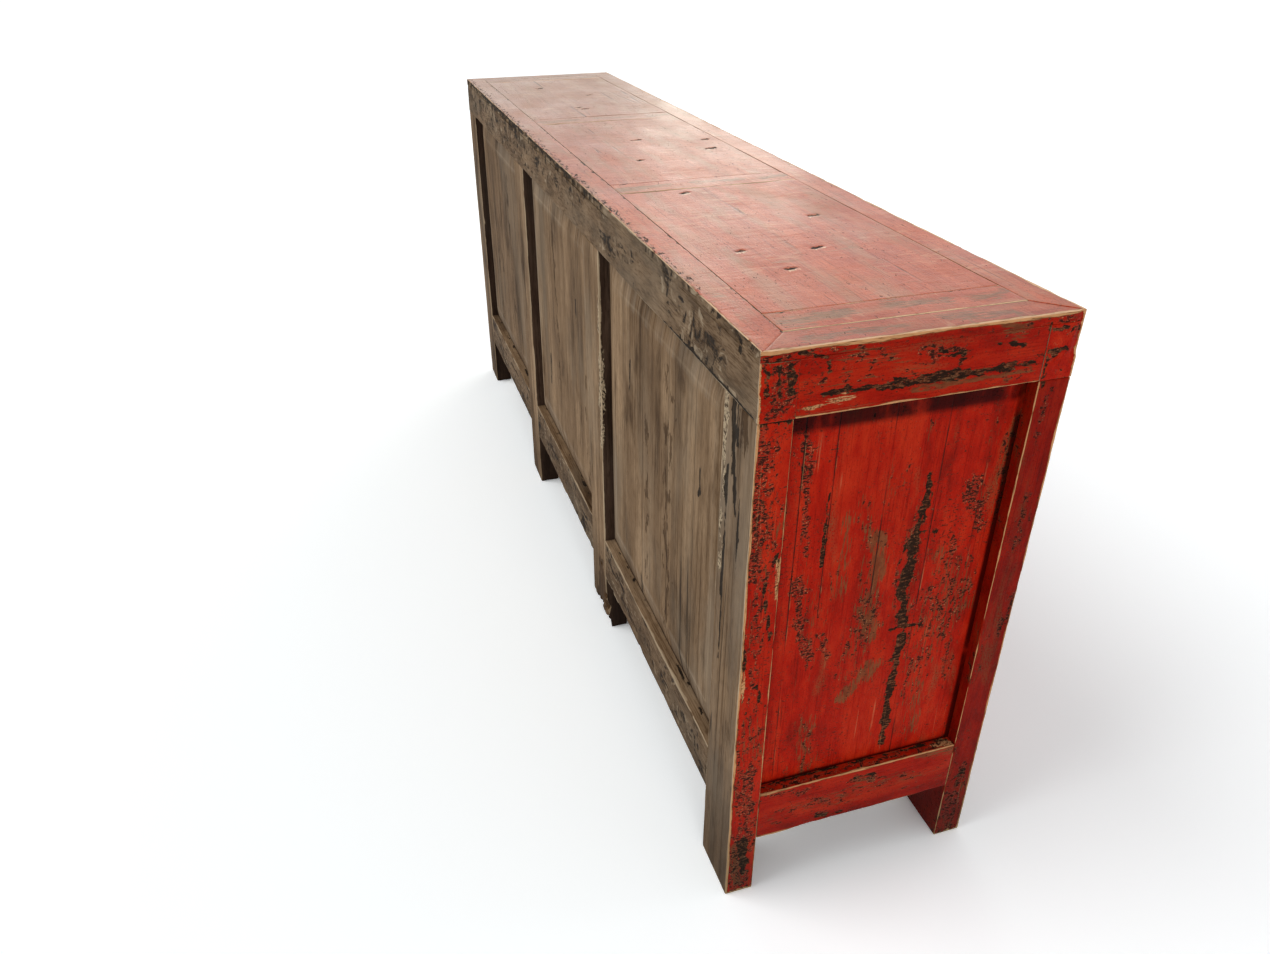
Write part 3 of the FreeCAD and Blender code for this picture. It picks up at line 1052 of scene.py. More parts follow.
@dataclass(frozen=True)
class RedLacquer(Finish):
    """Old red lacquer: mottled, specked, crazed black in patches, rubbed to bare wood along the arrises."""

    deep: Triple = (0.205, 0.0065, 0.002)
    main: Triple = (0.365, 0.0095, 0.0022)
    light: Triple = (0.47, 0.025, 0.006)
    black: Triple = (0.012, 0.007, 0.005)
    brown: Triple = (0.15, 0.07, 0.026)
    bare: Triple = (0.53, 0.27, 0.122)
    # Pale lips by black flecks and joints: rubbed undercoat, with a painted glint on lifted edges.
    lip: Triple = (0.46, 0.12, 0.062)
    plank_tint: Triple = (0.62, 0.58, 0.56)
    pores: Triple = (0.7, 0.6, 0.56)
    grit: Triple = (0.52, 0.44, 0.4)
    dulled: Triple = (0.62, 0.62, 0.6)
    # Tint of soil, and of painted shade in recesses and under rails.
    soot: Triple = (0.11, 0.07, 0.07)
    # Tint and height of the darkening towards the floor.
    damp: Triple = (0.36, 0.62, 0.75)
    damp_height: float = 0.24
    gloss: float = 0.46
    specular: float = 0.04
    crazing: float = 1.0
    joints: float = 0.8
    joint_breaks: float = 0.45
    specks: float = 1.0
    flecks: Row = (185.0, 185.0, 420.0)
    scuff: float = 0.0
    scuff_colour: Triple = (0.235, 0.19, 0.14)
    ripple: float = 0.0
    # Colour the top turns to towards its right end: partly fading, partly painted sheen.
    fade: Triple | None = None
    fade_reach: tuple[float, float] = (-0.8, 0.9)
    bump: float = 0.9 * MM

    def ground(self, bench: Bench, grain: Value, plank: Value) -> Value:
        """The coat itself: streaks, clouds and mottles, darker in the wood's pores and here and there thin.

        Args:
            bench: Its bench.
            grain: Grain coordinates.
            plank: Count across the planks.

        Returns:
            The colour.
        """
        streak = bench.noise(grain, (30, 1.2), 5)
        cloud = bench.noise(grain, (7, 3), 4)
        mottle = bench.noise(grain, (60, 24), 5)
        fine = bench.noise(grain, (420, 9))
        grit = bench.noise(grain, (520, 330))
        tone = streak * 0.3 + cloud * 0.3 + mottle * 0.4
        colour = bench.ramp(tone, (0.37, self.deep), (0.48, self.main), (0.61, self.light))
        # Towards the right end the coat blends to a paler brown: partly a faded coat, partly painted sheen
        # and fall of light.
        if self.fade is not None:
            far = bench.part(bench.place(), 0).step(*self.fade_reach)
            colour = bench.mix(far * 0.75, colour, self.fade)
        colour = bench.shade(colour, bench.plank_tone(plank) * 0.22, self.plank_tint)
        colour = bench.shade(colour, fine.step(0.47, 0.3), self.pores)
        colour = bench.shade(colour, grit.step(0.45, 0.3), self.grit)
        thin = bench.noise(grain, (26, 6), 6)
        worn = thin.step(0.57, 0.7) * grit.step(0.4, 0.56)
        colour = bench.mix(worn * 0.6, colour, self.brown)
        return self.scuffed(bench, grain, colour) if self.scuff > 0.0 else colour

    def scuffed(self, bench: Bench, grain: Value, colour: Value) -> Value:
        """A dull, scuffed coat; in patches, pale creases and dark hair lines across the grain paint wrinkles'
        light and shade.

        Args:
            bench: Its bench.
            grain: Grain coordinates.
            colour: The coat.

        Returns:
            The colour.
        """
        dull = bench.noise(grain, (24, 5), 7, 0.2)
        crease_light_and_shade = bench.noise(grain, (17, 95), 5, 0.7)
        patch = bench.noise(grain, (7, 9)).step(0.44, 0.6)
        colour = bench.mix(dull.step(0.46, 0.66) * self.scuff, colour, self.scuff_colour)
        # Pale creases and dark hair lines: painted highlight and shade of the coat's wrinkles.
        colour = bench.mix(crease_light_and_shade.step(0.56, 0.66) * patch * 0.28, colour, self.bare)
        return bench.mix(crease_light_and_shade.step(0.41, 0.33) * patch * 0.55, colour, self.brown)

    def hurts(self, bench: Bench, grain: Value, colour: Value) -> tuple[Value, Value]:
        """The hurts of the coat.

        A rubbed place is brown, stippled along the grain; a crazed place is full of small level black flecks
        with pale lips and chips; a split is level black bars on brown wood; a flaked place is bare. Single
        black flecks with paler lips lie all over, in clusters. The lips are bare undercoat and a painted
        glint on the lifted edges.

        Args:
            bench: Its bench.
            grain: Grain coordinates.
            colour: The coat.

        Returns:
            The colour with its hurts, and where they are black.
        """
        place = bench.place()
        tear = bench.noise(grain, (150, 70), 5)
        stipple = bench.noise(grain, (380, 36), 4)
        chips = bench.noise(grain, (480, 380), 2)
        fleck = bench.noise(place, self.flecks, 3, 0.3)
        bars = bench.noise(place, (70, 280), 4, 0.5)
        slow = bench.noise(grain, (17, 4), 5, 0.3)
        cluster = bench.noise(place, (9, 6), 4)
        loose = slow.step(0.47, 0.66) * (0.48 * self.crazing)
        earth = bench.mix(tear.step(0.38, 0.6), tinted(self.brown, 0.6), self.brown)
        thin = bench.larger(bench.attribute(Hurt.RUBBED.value), loose * 0.8)
        colour = bench.mix(bench.torn(thin, stipple) * 0.74, colour, earth)
        zone = bench.larger(bench.hurt(Hurt.CRAZED, tear), bench.torn(loose, tear))
        colour = bench.shade(colour, zone * 0.6, self.dulled)
        level = 0.675 - cluster.step(0.4, 0.62) * (0.085 * self.specks)
        # Pale lips round the flecks: bare undercoat and a painted glint on their lifted edges.
        lip = bench.larger(fleck.step(0.4, 0.46) * zone, fleck.step(level - 0.03, level) * 0.6)
        colour = bench.mix(lip * 0.26, colour, self.lip)
        black = bench.larger(fleck.step(0.47, 0.55) * zone, fleck.step(level, level + 0.04) * 0.8)
        colour = bench.mix(chips.step(0.6, 0.67) * zone * 0.55, colour, self.bare)
        split = bench.hurt(Hurt.SPLIT, tear)
        ground = bench.mix(chips.step(0.44, 0.6), tinted(self.brown, 0.35), tinted(self.bare, 0.28))
        colour = bench.mix(split * 0.85, colour, ground)
        black = bench.larger(black, split * bars.step(0.42, 0.52))
        flaked = bench.hurt(Hurt.FLAKED, stipple)
        colour = bench.mix(flaked, colour, bench.mix(chips.step(0.36, 0.56), self.brown, self.bare))
        return bench.mix(black * 0.92, colour, self.black), black

    def lines(self, bench: Bench, grain: Value, plank: Value, colour: Value) -> tuple[Value, Value]:
        """Thin lines along the grain: dark checks, dark plank joints with a light lip, and pale scratches.

        Args:
            bench: Its bench.
            grain: Grain coordinates.
            plank: Count across the planks.
            colour: The coat.

        Returns:
            The colour with its lines, and where the dark ones are.
        """
        pale = bench.noise(grain, (30, 0.9), 2).line(0.006)
        pale = pale * bench.noise(grain, (14, 6)).step(0.58, 0.68)
        colour = bench.mix(pale * 0.3, colour, self.bare)
        check = bench.noise(grain, (14, 0.3), 2).line(0.006)
        check = check * bench.noise(grain, (9, 3)).step(0.48, 0.56)
        ragged = bench.noise(grain, (90, 30), 4)
        strength = bench.noise(grain, (6, 5), 4).step(self.joint_breaks, self.joint_breaks + 0.14)
        shown = bench.noise(grain, (5, 9), 4).step(0.54, 0.62)
        # A light lip by each joint: rubbed wood and a painted highlight on the plank's edge.
        lip = bench.plank_joint(plank + 0.022, ragged) * (strength * shown)
        colour = bench.mix(lip * 0.55, colour, tinted(self.bare, 0.7))
        dark = bench.larger(check, bench.plank_joint(plank, ragged)) * (strength * self.joints)
        return bench.mix(dark, colour, self.black), dark

    def wire(self, bench: Bench) -> None:
        """Wires the finish.

        Over the ground lie the hurts and the lines; soil and painted shade darken it, and bare wood shows
        where the wear of an arris meets a ragged noise. The colour is darker towards the floor.

        Args:
            bench: Its bench.
        """
        grain = bench.attribute("grain", "Vector")
        plank = bench.attribute("plank")
        colour = self.ground(bench, grain, plank)
        colour, black = self.hurts(bench, grain, colour)
        colour, dark = self.lines(bench, grain, plank, colour)
        cloud = bench.noise(grain, (12, 8), 4)
        # Painted shade under rails and in recesses, with soil, as the board's layer gives it.
        colour = bench.shade(colour, bench.attribute("grime") * cloud.step(0.2, 0.44), self.soot)
        ragged = bench.noise(grain, (110, 18), 5)
        edge = bench.attribute("wear") + (ragged - MIDDLE) * 1.5
        rim = edge.step(0.4, 0.5)
        core = edge.step(0.5, 0.6)
        fibre = bench.noise(grain, (420, 40))
        wood = bench.mix(fibre.step(0.3, 0.48), self.brown, self.bare)
        colour = bench.mix(rim * 0.8, colour, self.brown)
        colour = bench.mix(core, colour, wood)
        # Darker towards the floor.
        foot = bench.part(bench.place(), 2).step(self.damp_height, 0.02)
        colour = bench.shade(colour, foot * 0.65, self.damp)
        roughness = bench.larger(black, rim) * 0.3 + self.gloss + (cloud - MIDDLE) * 0.3
        height = bench.noise(grain, (330, 150), 4) * 0.45
        if self.ripple > 0.0:
            height = height + bench.noise(grain, (17, 60), 4, 0.6) * self.ripple
        height = height - black * 0.55 - dark * 0.7 - core * 0.25
        bench.dress(colour, roughness, height, self.bump, self.specular)


@dataclass(frozen=True)
class BareWood(Finish):
    """Unlacquered wood, silvered or brown with age, with open grain, checks, stains and dark gouges."""

    dark: Triple = (0.06, 0.036, 0.02)
    main: Triple = (0.215, 0.138, 0.077)
    light: Triple = (0.385, 0.266, 0.161)
    stain: Triple = (0.4, 0.35, 0.3)
    scar: Triple = (0.013, 0.009, 0.006)
    rubbed: Triple = (0.44, 0.34, 0.225)
    silver: Triple = (0.27, 0.215, 0.16)
    bare: Triple = (0.43, 0.34, 0.225)
    grey: Triple = (0.19, 0.15, 0.105)
    pores: Triple = (0.62, 0.58, 0.54)
    fibres: Triple = (0.66, 0.62, 0.58)
    # Tint of soil, and of painted shade along panel rims.
    soot: Triple = (0.3, 0.26, 0.24)
    # Tint and height of the darkening towards the floor.
    damp: Triple = (0.42, 0.38, 0.34)
    damp_height: float = 0.3
    checks: float = 1.0
    figure: Row = (22.0, 22.0, 1.7)
    smear: Row = (15.0, 15.0, 6.0)
    smear_share: float = 0.3
    fibre: float = 1.0
    along: int | None = None
    specular: float = 0.1
    bump: float = 1.2 * MM

    def ground(self, bench: Bench, grain: Value, plank: Input, fine: Value, blot: Value) -> Value:
        """The wood itself.

        Broad and fine noises drawn out along the grain give the figure, slow clouds the stains and the
        silvering; the pale layer adds silvering on a post and painted light on a panel's bevel.

        Args:
            bench: Its bench.
            grain: Grain coordinates.
            plank: Count across the planks.
            fine: Fine fibre.
            blot: Where stains are.

        Returns:
            The colour.
        """
        figure = bench.noise(grain, self.figure, 6)
        broad = bench.noise(grain, (8, 1), 4)
        streak = bench.noise(grain, (130, 1.6 * self.fibre), 5)
        cloud = bench.noise(grain, (6, 2.4), 5)
        smear = bench.noise(grain, self.smear, 5, 0.5)
        grit = bench.noise(grain, (600, 50), 2)
        drawn = 0.5 * (1.0 - self.smear_share)
        tone = figure * drawn + smear * self.smear_share + broad * drawn
        colour = bench.ramp(tone, (0.35, self.dark), (0.49, self.main), (0.63, self.light))
        colour = bench.shade(colour, bench.plank_tone(plank) * 0.34, self.pores)
        colour = bench.shade(colour, streak.step(0.48, 0.32), self.pores)
        colour = bench.shade(colour, fine.step(0.52, 0.34), self.fibres)
        colour = bench.shade(colour, grit.step(0.52, 0.32), self.pores)
        colour = bench.mix(cloud.step(0.46, 0.64) * 0.4, colour, self.grey)
        # The pale layer: silvering on a post, and on a fielded panel painted light down the bevel with a
        # painted highlight along its turn into the field.
        pale = bench.attribute("pale")
        aged = pale.step(0.05, 0.55) * (streak + cloud).step(0.8, 1.15)
        colour = bench.mix(aged * 0.34, colour, self.silver)
        bright = pale.step(0.6, 0.95) * cloud.step(0.3, 0.6)
        colour = bench.mix(bright * 0.26, colour, self.rubbed)
        return bench.shade(colour, blot.step(0.53, 0.72), self.stain)

    def hurts(self, bench: Bench, grain: Value, fine: Value, colour: Value) -> tuple[Value, Value]:
        """The hurts of the wood.

        A crazed place is chipped across the grain in dark and tan; a split opens dark along the fibre; a
        flaked place is pale and crumbled; a rubbed place is stained.

        Args:
            bench: Its bench.
            grain: Grain coordinates.
            fine: Fine fibre.
            colour: The wood.

        Returns:
            The colour with its hurts, and where they are hollow.
        """
        torn = bench.noise(grain, (90, 26), 5)
        chips = bench.noise(grain, (21, 30), 8, 1.6)
        crumb = bench.noise(grain, (300, 170))
        colour = bench.shade(colour, bench.hurt(Hurt.RUBBED, torn), self.stain)
        zone = bench.hurt(Hurt.CRAZED, torn)
        colour = bench.mix(zone * (chips.step(0.46, 0.36) * 0.5), colour, self.rubbed)
        chipped = zone * (chips.step(0.49, 0.58) * fine.step(0.25, 0.5))
        hole = bench.larger(chipped, bench.hurt(Hurt.SPLIT, torn) * fine.step(0.26, 0.42))
        crumbled = bench.mix(crumb.step(0.42, 0.54), tinted(self.dark, 0.7), self.bare)
        colour = bench.mix(bench.hurt(Hurt.FLAKED, torn) * 0.85, colour, crumbled)
        return bench.mix(hole * 0.95, colour, self.scar), hole

    def wire(self, bench: Bench) -> None:
        """Wires the finish.

        Over the wood lie its checks, thin lines where a noise passes its middle, its hurts and the rubbed
        arrises; soil and painted shade darken it, and it is darker towards the floor.

        Args:
            bench: Its bench.
        """
        plain = self.along is not None
        grain = bench.turned(self.along) if plain else bench.attribute("grain", "Vector")
        plank = MIDDLE if plain else bench.attribute("plank")
        fine = bench.noise(grain, (300, 4.0 * self.fibre), 5)
        blot = bench.noise(grain, (18, 5), 6, 0.3)
        colour = self.ground(bench, grain, plank, fine, blot)
        crack = bench.noise(grain, (17, 0.35), 2).line(0.006)
        crack = crack * bench.noise(grain, (6, 2)).step(0.49, 0.58)
        crack = bench.larger(crack * self.checks, bench.plank_joint(plank, fine) * 0.45)
        colour = bench.mix(crack * 0.75, colour, self.scar)
        colour, hole = self.hurts(bench, grain, fine, colour)
        ragged = bench.noise(grain, (110, 12), 5)
        edge = bench.attribute("wear") + (ragged - MIDDLE) * 1.9
        colour = bench.mix(edge.step(0.5, 0.7) * 0.8, colour, self.rubbed)
        # Painted shade along the rims of panels, with soil, as the board's layer gives it.
        colour = bench.shade(colour, bench.attribute("grime") * blot.step(0.22, 0.5), self.soot)
        # Darker towards the floor.
        foot = bench.part(bench.place(), 2).step(self.damp_height, 0.02)
        colour = bench.shade(colour, foot * 0.9, self.damp)
        roughness = 0.95 - fine * 0.25
        height = fine * 0.65 + blot * 0.3 - crack * 0.8 - hole * 0.9
        bench.dress(colour, roughness, height, self.bump, self.specular)


@dataclass(frozen=True)
class AgedBrass(Finish):
    """Brass gone brown, brighter where hands have rubbed it."""

    dark: Triple = (0.09, 0.058, 0.026)
    main: Triple = (0.3, 0.19, 0.07)
    bright: Triple = (0.52, 0.36, 0.14)
    pitted: Triple = (0.45, 0.4, 0.34)
    bump: float = 0.25 * MM

    def wire(self, bench: Bench) -> None:
        """Wires the finish: clouds of patina, fine pits and a wandering roughness.

        Args:
            bench: Its bench.
        """
        place = bench.place()
        cloud = bench.noise(place, (55, 55), 5, 0.4)
        pits = bench.noise(place, (900, 900))
        colour = bench.ramp(cloud, (0.34, self.dark), (0.52, self.main), (0.7, self.bright))
        colour = bench.shade(colour, pits.step(0.42, 0.3), self.pitted)
        bench.dress(colour, cloud * 0.35 + 0.28, cloud + pits * 0.5, self.bump, metal=1.0)


INSIDE_WOOD = BareWood(
    "inside wood", dark=(0.12, 0.078, 0.044), main=(0.25, 0.165, 0.095), light=(0.36, 0.25, 0.15),
    grey=(0.23, 0.175, 0.12), checks=0.5,
)
FINISHES: dict[Coat, Finish] = {
    Coat.RED: RedLacquer("worn red lacquer"),
    Coat.FADED: RedLacquer(
        "faded red lacquer of the top", deep=(0.375, 0.062, 0.026), main=(0.47, 0.098, 0.042),
        light=(0.575, 0.15, 0.072), brown=(0.235, 0.13, 0.062), bare=(0.68, 0.44, 0.27),
        lip=(0.62, 0.3, 0.19), gloss=0.38, specular=0.3, crazing=0.12, joints=0.6, joint_breaks=0.5,
        specks=0.4, flecks=(110.0, 260.0, 260.0), scuff=0.45, scuff_colour=(0.33, 0.2, 0.118), ripple=0.9,
        fade=(0.275, 0.185, 0.12),
    ),
    Coat.BACK: BareWood("weathered back wood"),
    Coat.RAIL: BareWood(
        "soiled wood of the back rails", dark=(0.06, 0.038, 0.022), main=(0.16, 0.104, 0.06),
        light=(0.26, 0.178, 0.108), rubbed=(0.4, 0.32, 0.22), stain=(0.34, 0.3, 0.26), checks=0.1,
        figure=(16.0, 16.0, 5.0), smear=(24.0, 24.0, 14.0), smear_share=0.55, fibre=14.0,
    ),
    # Post sides in the back bays: very dark, partly a stain, partly painted shade of the recess.
    Coat.REVEAL: BareWood(
        "dark post sides", dark=(0.016, 0.009, 0.006), main=(0.042, 0.024, 0.016),
        light=(0.095, 0.06, 0.04), grey=(0.045, 0.034, 0.026),
    ),
    Coat.INSIDE: INSIDE_WOOD,
    Coat.BRASS: AgedBrass("aged brass"),
}


class Palette:
    """Every finish, made once: those of the coats, and those of plain boards by the axis of their grain."""

    def __init__(self) -> None:
        """Makes the materials."""
        self.made = {coat: finish.material() for coat, finish in FINISHES.items()}
        self.plain = {
            axis: replace(INSIDE_WOOD, name=f"inside boards {name}", along=axis).material()
            for axis, name in ((0, "lengthwise"), (1, "crosswise"))
        }


@dataclass
class Yard:
    """Places finished pieces: names them, gives them a body, and hides the nodes they replace."""

    palette: Palette
    triangles: int = 0

    def place(self, node: str, slot: Slot, boards: list[Board], body: str = CASE) -> None:
        """Builds the boards of one CAD node as one piece.

        Args:
            node: CAD node that the piece stands for.
            slot: Record slot that its finish comes from; not used.
            boards: The boards it is made of.
            body: Body that it rides on.
        """
        piece = self.add(f"{node}_worn", slot, [board.shell() for board in boards], body)
        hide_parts(node)

    def add(self, name: str, slot: Slot, shells: list[Shell], body: str) -> bpy.types.Object:
        """Builds one piece from shells.

        Args:
            name: Name of the piece.
            slot: Record slot that its finish comes from; not used.
            shells: The shells it is made of.
            body: Body that it rides on.

        Returns:
            The piece.
        """
        shell = Shell.joined(shells)
        piece = shell.to_object(name, self.palette)
        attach(piece, body)
        count = 2 * len(shell.quads) + len(shell.tris)
        self.triangles += count
        LOG.info("%s: %d triangles", piece.name, count)
        return piece

    @staticmethod
    def keep(node: str, slot: Slot, material: bpy.types.Material, bevel: float) -> None:
        """Shows a CAD node as it is, with a finish and softened edges.

        Args:
            node: CAD node to show.
            slot: Record slot that its finish comes from; not used.
            material: Its finish.
            bevel: Width of the softened edges in metres.
        """
        shown = bpy.data.objects[node]
        shown.data.materials.clear()
        shown.data.materials.append(material)
        soften = shown.modifiers.new("soft edges", "BEVEL")
        soften.width = bevel
        soften.segments = 2
        soften.limit_method = "ANGLE"
        LOG.info("%s: kept", node)


def trimmed(node: str, **planes: float) -> Box:
    """A CAD node's box, with some of its planes moved to leave out tenons and tongues.

    Args:
        node: CAD node whose box is taken.
        **planes: New planes, named low_x, high_x, low_y, high_y, low_z or high_z.

    Returns:
        Lowest and highest corner in metres.
    """
    low, high = (np.array(corner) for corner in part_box(node))
    for name, value in planes.items():
        end, axis = name.split("_")
        (low if end == "low" else high)["xyz".index(axis)] = value
    return low, high


@dataclass(frozen=True)
class Plan:
    """The planes that the case is set out from, in metres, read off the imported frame."""

    front: float
    back: float
    top: float
    rail_under: float
    front_rail_inner: float
    back_rail_inner: float
    bays: dict[str, tuple[float, float]]

    @classmethod
    def from_frame(cls) -> Plan:
        """Reads the planes from the boxes of posts and rails.

        Returns:
            The plan.
        """
        front_low, front_high = trimmed("front_top_rail")
        back_low, back_high = trimmed("back_top_rail")
        bays = {}
        for bay, near, far in zip(BAYS, POSTS[:-1], POSTS[1:]):
            bays[bay] = (trimmed(f"back_{near}_post")[1][0], trimmed(f"back_{far}_post")[0][0])
        return cls(front_low[1], back_high[1], back_high[2], back_low[2], front_high[1], back_low[1], bays)


RIM = (Side.TOP, Side.UNDER, Side.LEFT, Side.RIGHT)
ENDS = (Side.LEFT, Side.RIGHT)
ROWS = (Side.BACK, Side.FRONT)


def slot_of(row: Side) -> Slot:
    """Record slot of the work in the front or the back of the case."""
    return Slot.BACK if row is Side.BACK else Slot.LACQUER


# Hurts of the left end's rails and posts, in mm across and up.
END_HURTS = {
    Hurt.SPLIT: (
        (166, 884, 131, 874, 4, 0.6), (131, 874, 127, 857, 4.5, 0.6), (190, 880, 185, 834, 3.5, 0.6),
        (201, 866, 201, 838, 4, 0.6), (174, 873, 173, 842, 4, 0.6), (136, 829, 112, 832, 4, 0.6),
        (112, 832, 37, 829, 5, 0.6), (37, 829, -94, 830, 7, 0.8), (-94, 830, -140, 832, 6.5, 0.8),
        (-10, 861, -38, 854, 4, 0.6), (-87, 860, -121, 857, 3.5, 0.6), (-140, 843, -180, 844, 4.5, 0.6),
        (-150, 885, -152, 870, 4.5, 0.6), (-152, 870, -193, 868, 4, 0.6), (-154, 838, -158, 800, 4, 0.6),
        (209, 805, 166, 805, 4, 0.8), (186, 583, 171, 493, 3.5, 0.8), (185, 420, 177, 383, 4, 0.8),
        (172, 622, 168, 612, 4, 1), (209, 500, 206, 452, 7, 2.5), (188, 118, 180, 40, 9, 0.6),
        (12, 190, -18, 187, 5, 0.8), (70, 127, 28, 122, 5, 0.8), (-170, 128, -182, 138, 6, 0.6),
    ),
    Hurt.CRAZED: (
        (188, 884, 186, 812, 21, 0.2, 0.72), (95, 880, 66, 858, 15, 0.2, 0.55),
        (14, 868, -34, 855, 12, 0.3, 0.7), (-165, 885, -190, 872, 14, 0.2, 0.8),
        (203, 800, 199, 600, 19, 0.2, 0.95), (186, 790, 186, 640, 12, 0.2, 0.55),
        (192, 590, 186, 300, 17, 0.2, 0.45), (186, 260, 184, 120, 22, 0.2, 0.8),
        (190, 120, 186, 0, 24, 0.2, 0.7), (-186, 432, -186, 408, 8, 0.3, 0.9),
        (-196, 470, -196, 440, 7, 0.3, 0.9), (-170, 790, -168, 730, 8, 0.2, 0.7),
        (-175, 640, -178, 560, 8, 0.2, 0.6), (-178, 150, -176, 110, 9, 0.3, 0.9),
        (-170, 90, -176, 0, 18, 0.2, 0.7), (150, 198, 90, 192, 9, 0.2, 0.7),
        (14, 184, -20, 181, 11, 0.3, 0.8), (70, 130, 26, 124, 9, 0.2, 0.6),
    ),
    Hurt.RUBBED: (
        (-88, 886, -110, 872, 13, 0, 0.7), (200, 110, 190, 20, 9, 0, 0.8),
        (-150, 196, -90, 200, 9, 0, 0.7), (20, 819, -136, 822, 7, 0, 0.85),
        (66, 164, 60, 162, 6, 0, 0.9), (10, 182, -14, 178, 9, 0, 0.8),
    ),
    Hurt.FLAKED: (
        (152, 815, 96, 822, 5, 0, 0.6), (168, 614, 165, 560, 6, 2.5), (207, 452, 205, 400, 5, 0.6),
    ),
}
# Hurts of the left end panel: a long black split, crazed strips and worn patches.
PANEL_HURTS = {
    Hurt.SPLIT: (
        (-37, 688, -38, 645, 7, 1), (-38, 645, -34, 607, 9, 1.2), (-34, 607, -31, 536, 11, 1.2),
        (-31, 536, -26, 500, 13, 1.2), (-29, 505, -35, 453, 12, 1), (-36, 603, -62, 600, 4, 0.6),
        (-16, 448, -64, 446, 4, 0.8), (-39, 430, -34, 330, 9, 1), (-34, 330, -36, 226, 8, 1),
        (98, 689, 98, 579, 2.6, 0.6),
    ),
    Hurt.CRAZED: (
        (-102, 664, -112, 630, 15, 0.2, 0.95), (-112, 630, -128, 596, 16, 0.2, 0.8),
        (141, 782, 131, 690, 10, 0.2, 0.85), (131, 690, 124, 600, 8, 0.2, 0.7),
        (130, 565, 118, 470, 13, 0.2, 0.85), (112, 470, 104, 426, 11, 0.2, 0.75),
        (88, 460, 74, 424, 9, 0.2, 0.7), (-20, 560, -24, 470, 16, 0.2, 0.5),
        (-34, 620, -30, 470, 22, 0, 0.7), (-116, 540, -122, 330, 18, 0.2, 0.42),
    ),
    Hurt.RUBBED: (
        (25, 608, 14, 548, 18, 0.2, 0.9), (18, 548, 14, 440, 12, 0.2, 0.7),
        (32, 492, 8, 440, 14, 0.2, 0.85), (6, 390, 40, 340, 15, 0.3, 0.78),
        (-70, 560, -136, 474, 26, 0.2, 0.4), (70, 640, 66, 520, 12, 0.2, 0.45),
        (-84, 330, -88, 240, 15, 0.2, 0.5), (96, 310, 90, 225, 14, 0.2, 0.45),
    ),
}
# Hurts of the back's top rail: chips clustered near the left end, and a torn upper arris on the right half.
BACK_RAIL_HURTS = {
    Hurt.CRAZED: (
        (-700, 858, -800, 842, 26, 0.8, 0.8), (-800, 842, -905, 838, 30, 1, 0.9),
        (-780, 815, -960, 808, 9, 0.8, 0.95), (-620, 884, -1005, 886, 8, 0.6, 0.8),
        (-560, 850, -380, 828, 24, 0.3, 0.6), (-420, 881, 1010, 880, 15, 1, 0.95),
        (-260, 858, 960, 856, 26, 0.6, 0.58), (120, 832, 900, 828, 24, 0.4, 0.42),
    ),
    Hurt.SPLIT: (
        (-963, 880, -962, 866, 5, 1.4, 1), (-380, 885, 1010, 884, 6, 1.5, 0.75),
        (-700, 807, -1010, 807, 3, 0.5, 0.7),
    ),
}
BACK_ARRIS_HURTS = {
    Hurt.CRAZED: (
        (-820, 206, -460, 205, 9, 0.6, 0.62), (-460, 204, -200, 205, 11, 0.8, 0.66),
        (-200, 205, 1000, 204, 11, 0.8, 0.62),
    ),
}
# Hurts of two back posts, on their outer faces.
POST_HURTS = {
    "left_corner": {
        Hurt.SPLIT: (
            (-952, 808, -960, 735, 9, 2.2), (-960, 735, -972, 660, 8, 2),
            (-966, 800, -969, 752, 7.5, 1.6), (-944, 712, -944, 520, 5.5, 1.6),
            (-946, 520, -947, 410, 4, 1), (-984, 690, -986, 560, 3.5, 1, 0.8),
        ),
        Hurt.FLAKED: ((-933, 800, -935, 560, 14, 0.6, 0.66),),
        Hurt.RUBBED: ((-990, 800, -985, 770, 20, 0, 0.7),),
    },
    "left_inner": {
        Hurt.FLAKED: ((-357, 735, -356, 560, 8, 0.4, 0.72), (-355, 560, -354, 430, 11, 0.6, 0.85)),
        Hurt.RUBBED: ((-340, 120, -300, 0, 50),),
    },
}
# Dark nicks and long stains of the back panels, level with their faces.
BACK_PANEL_HURTS = {
    "left": {
        Hurt.SPLIT: ((-505, 664, -500, 614, 6, 0, 0.9), (-826, 640, -822, 596, 5, 0, 0.8)),
        Hurt.RUBBED: ((-690, 720, -694, 270, 24, 0, 0.42), (-590, 600, -592, 300, 16, 0, 0.38)),
    },
    "middle": {
        Hurt.SPLIT: ((-140, 640, -138, 590, 6, 0, 0.8), (120, 420, 124, 350, 5, 0, 0.8)),
        Hurt.RUBBED: ((40, 730, 30, 420, 24, 0, 0.42), (-200, 500, -206, 260, 18, 0, 0.38)),
    },
    "right": {
        Hurt.SPLIT: ((415, 601, 420, 540, 6, 0, 0.8), (700, 480, 702, 430, 6, 0, 0.8)),
        Hurt.RUBBED: ((560, 720, 556, 380, 26, 0, 0.42), (760, 560, 764, 260, 18, 0, 0.38)),
    },
}
# Dents of the top panels: place and length in mm.
DENTS = {
    "left": ((-779, 67, 14), (-707, -8, 12), (-372, 66, 12), (-560, -70, 16), (-690, 100, 8)),
    "middle": ((24, -120, 12), (-60, -100, 14), (60, 20, 16), (-120, 60, 8)),
    "right": ((443, 22, 14), (470, 30, 10), (640, -40, 9), (780, 60, 12)),
}
TOP_JOINTS = {"left": (-70.0, 18.0), "middle": (-30.0, 72.0), "right": (-84.0, 40.0)}
END_JOINTS = (-118.0, -52.0, 22.0, 97.0, 139.0)
BACK_JOINT_SHARES = np.array([0.22, 0.41, 0.63, 0.80])


def end_hurts(face: Side) -> tuple[Mark, ...]:
    """Hurts of one end's rails and posts; the right end has those of the left one, turned half round."""
    return marked(face, END_HURTS, -face.sign)


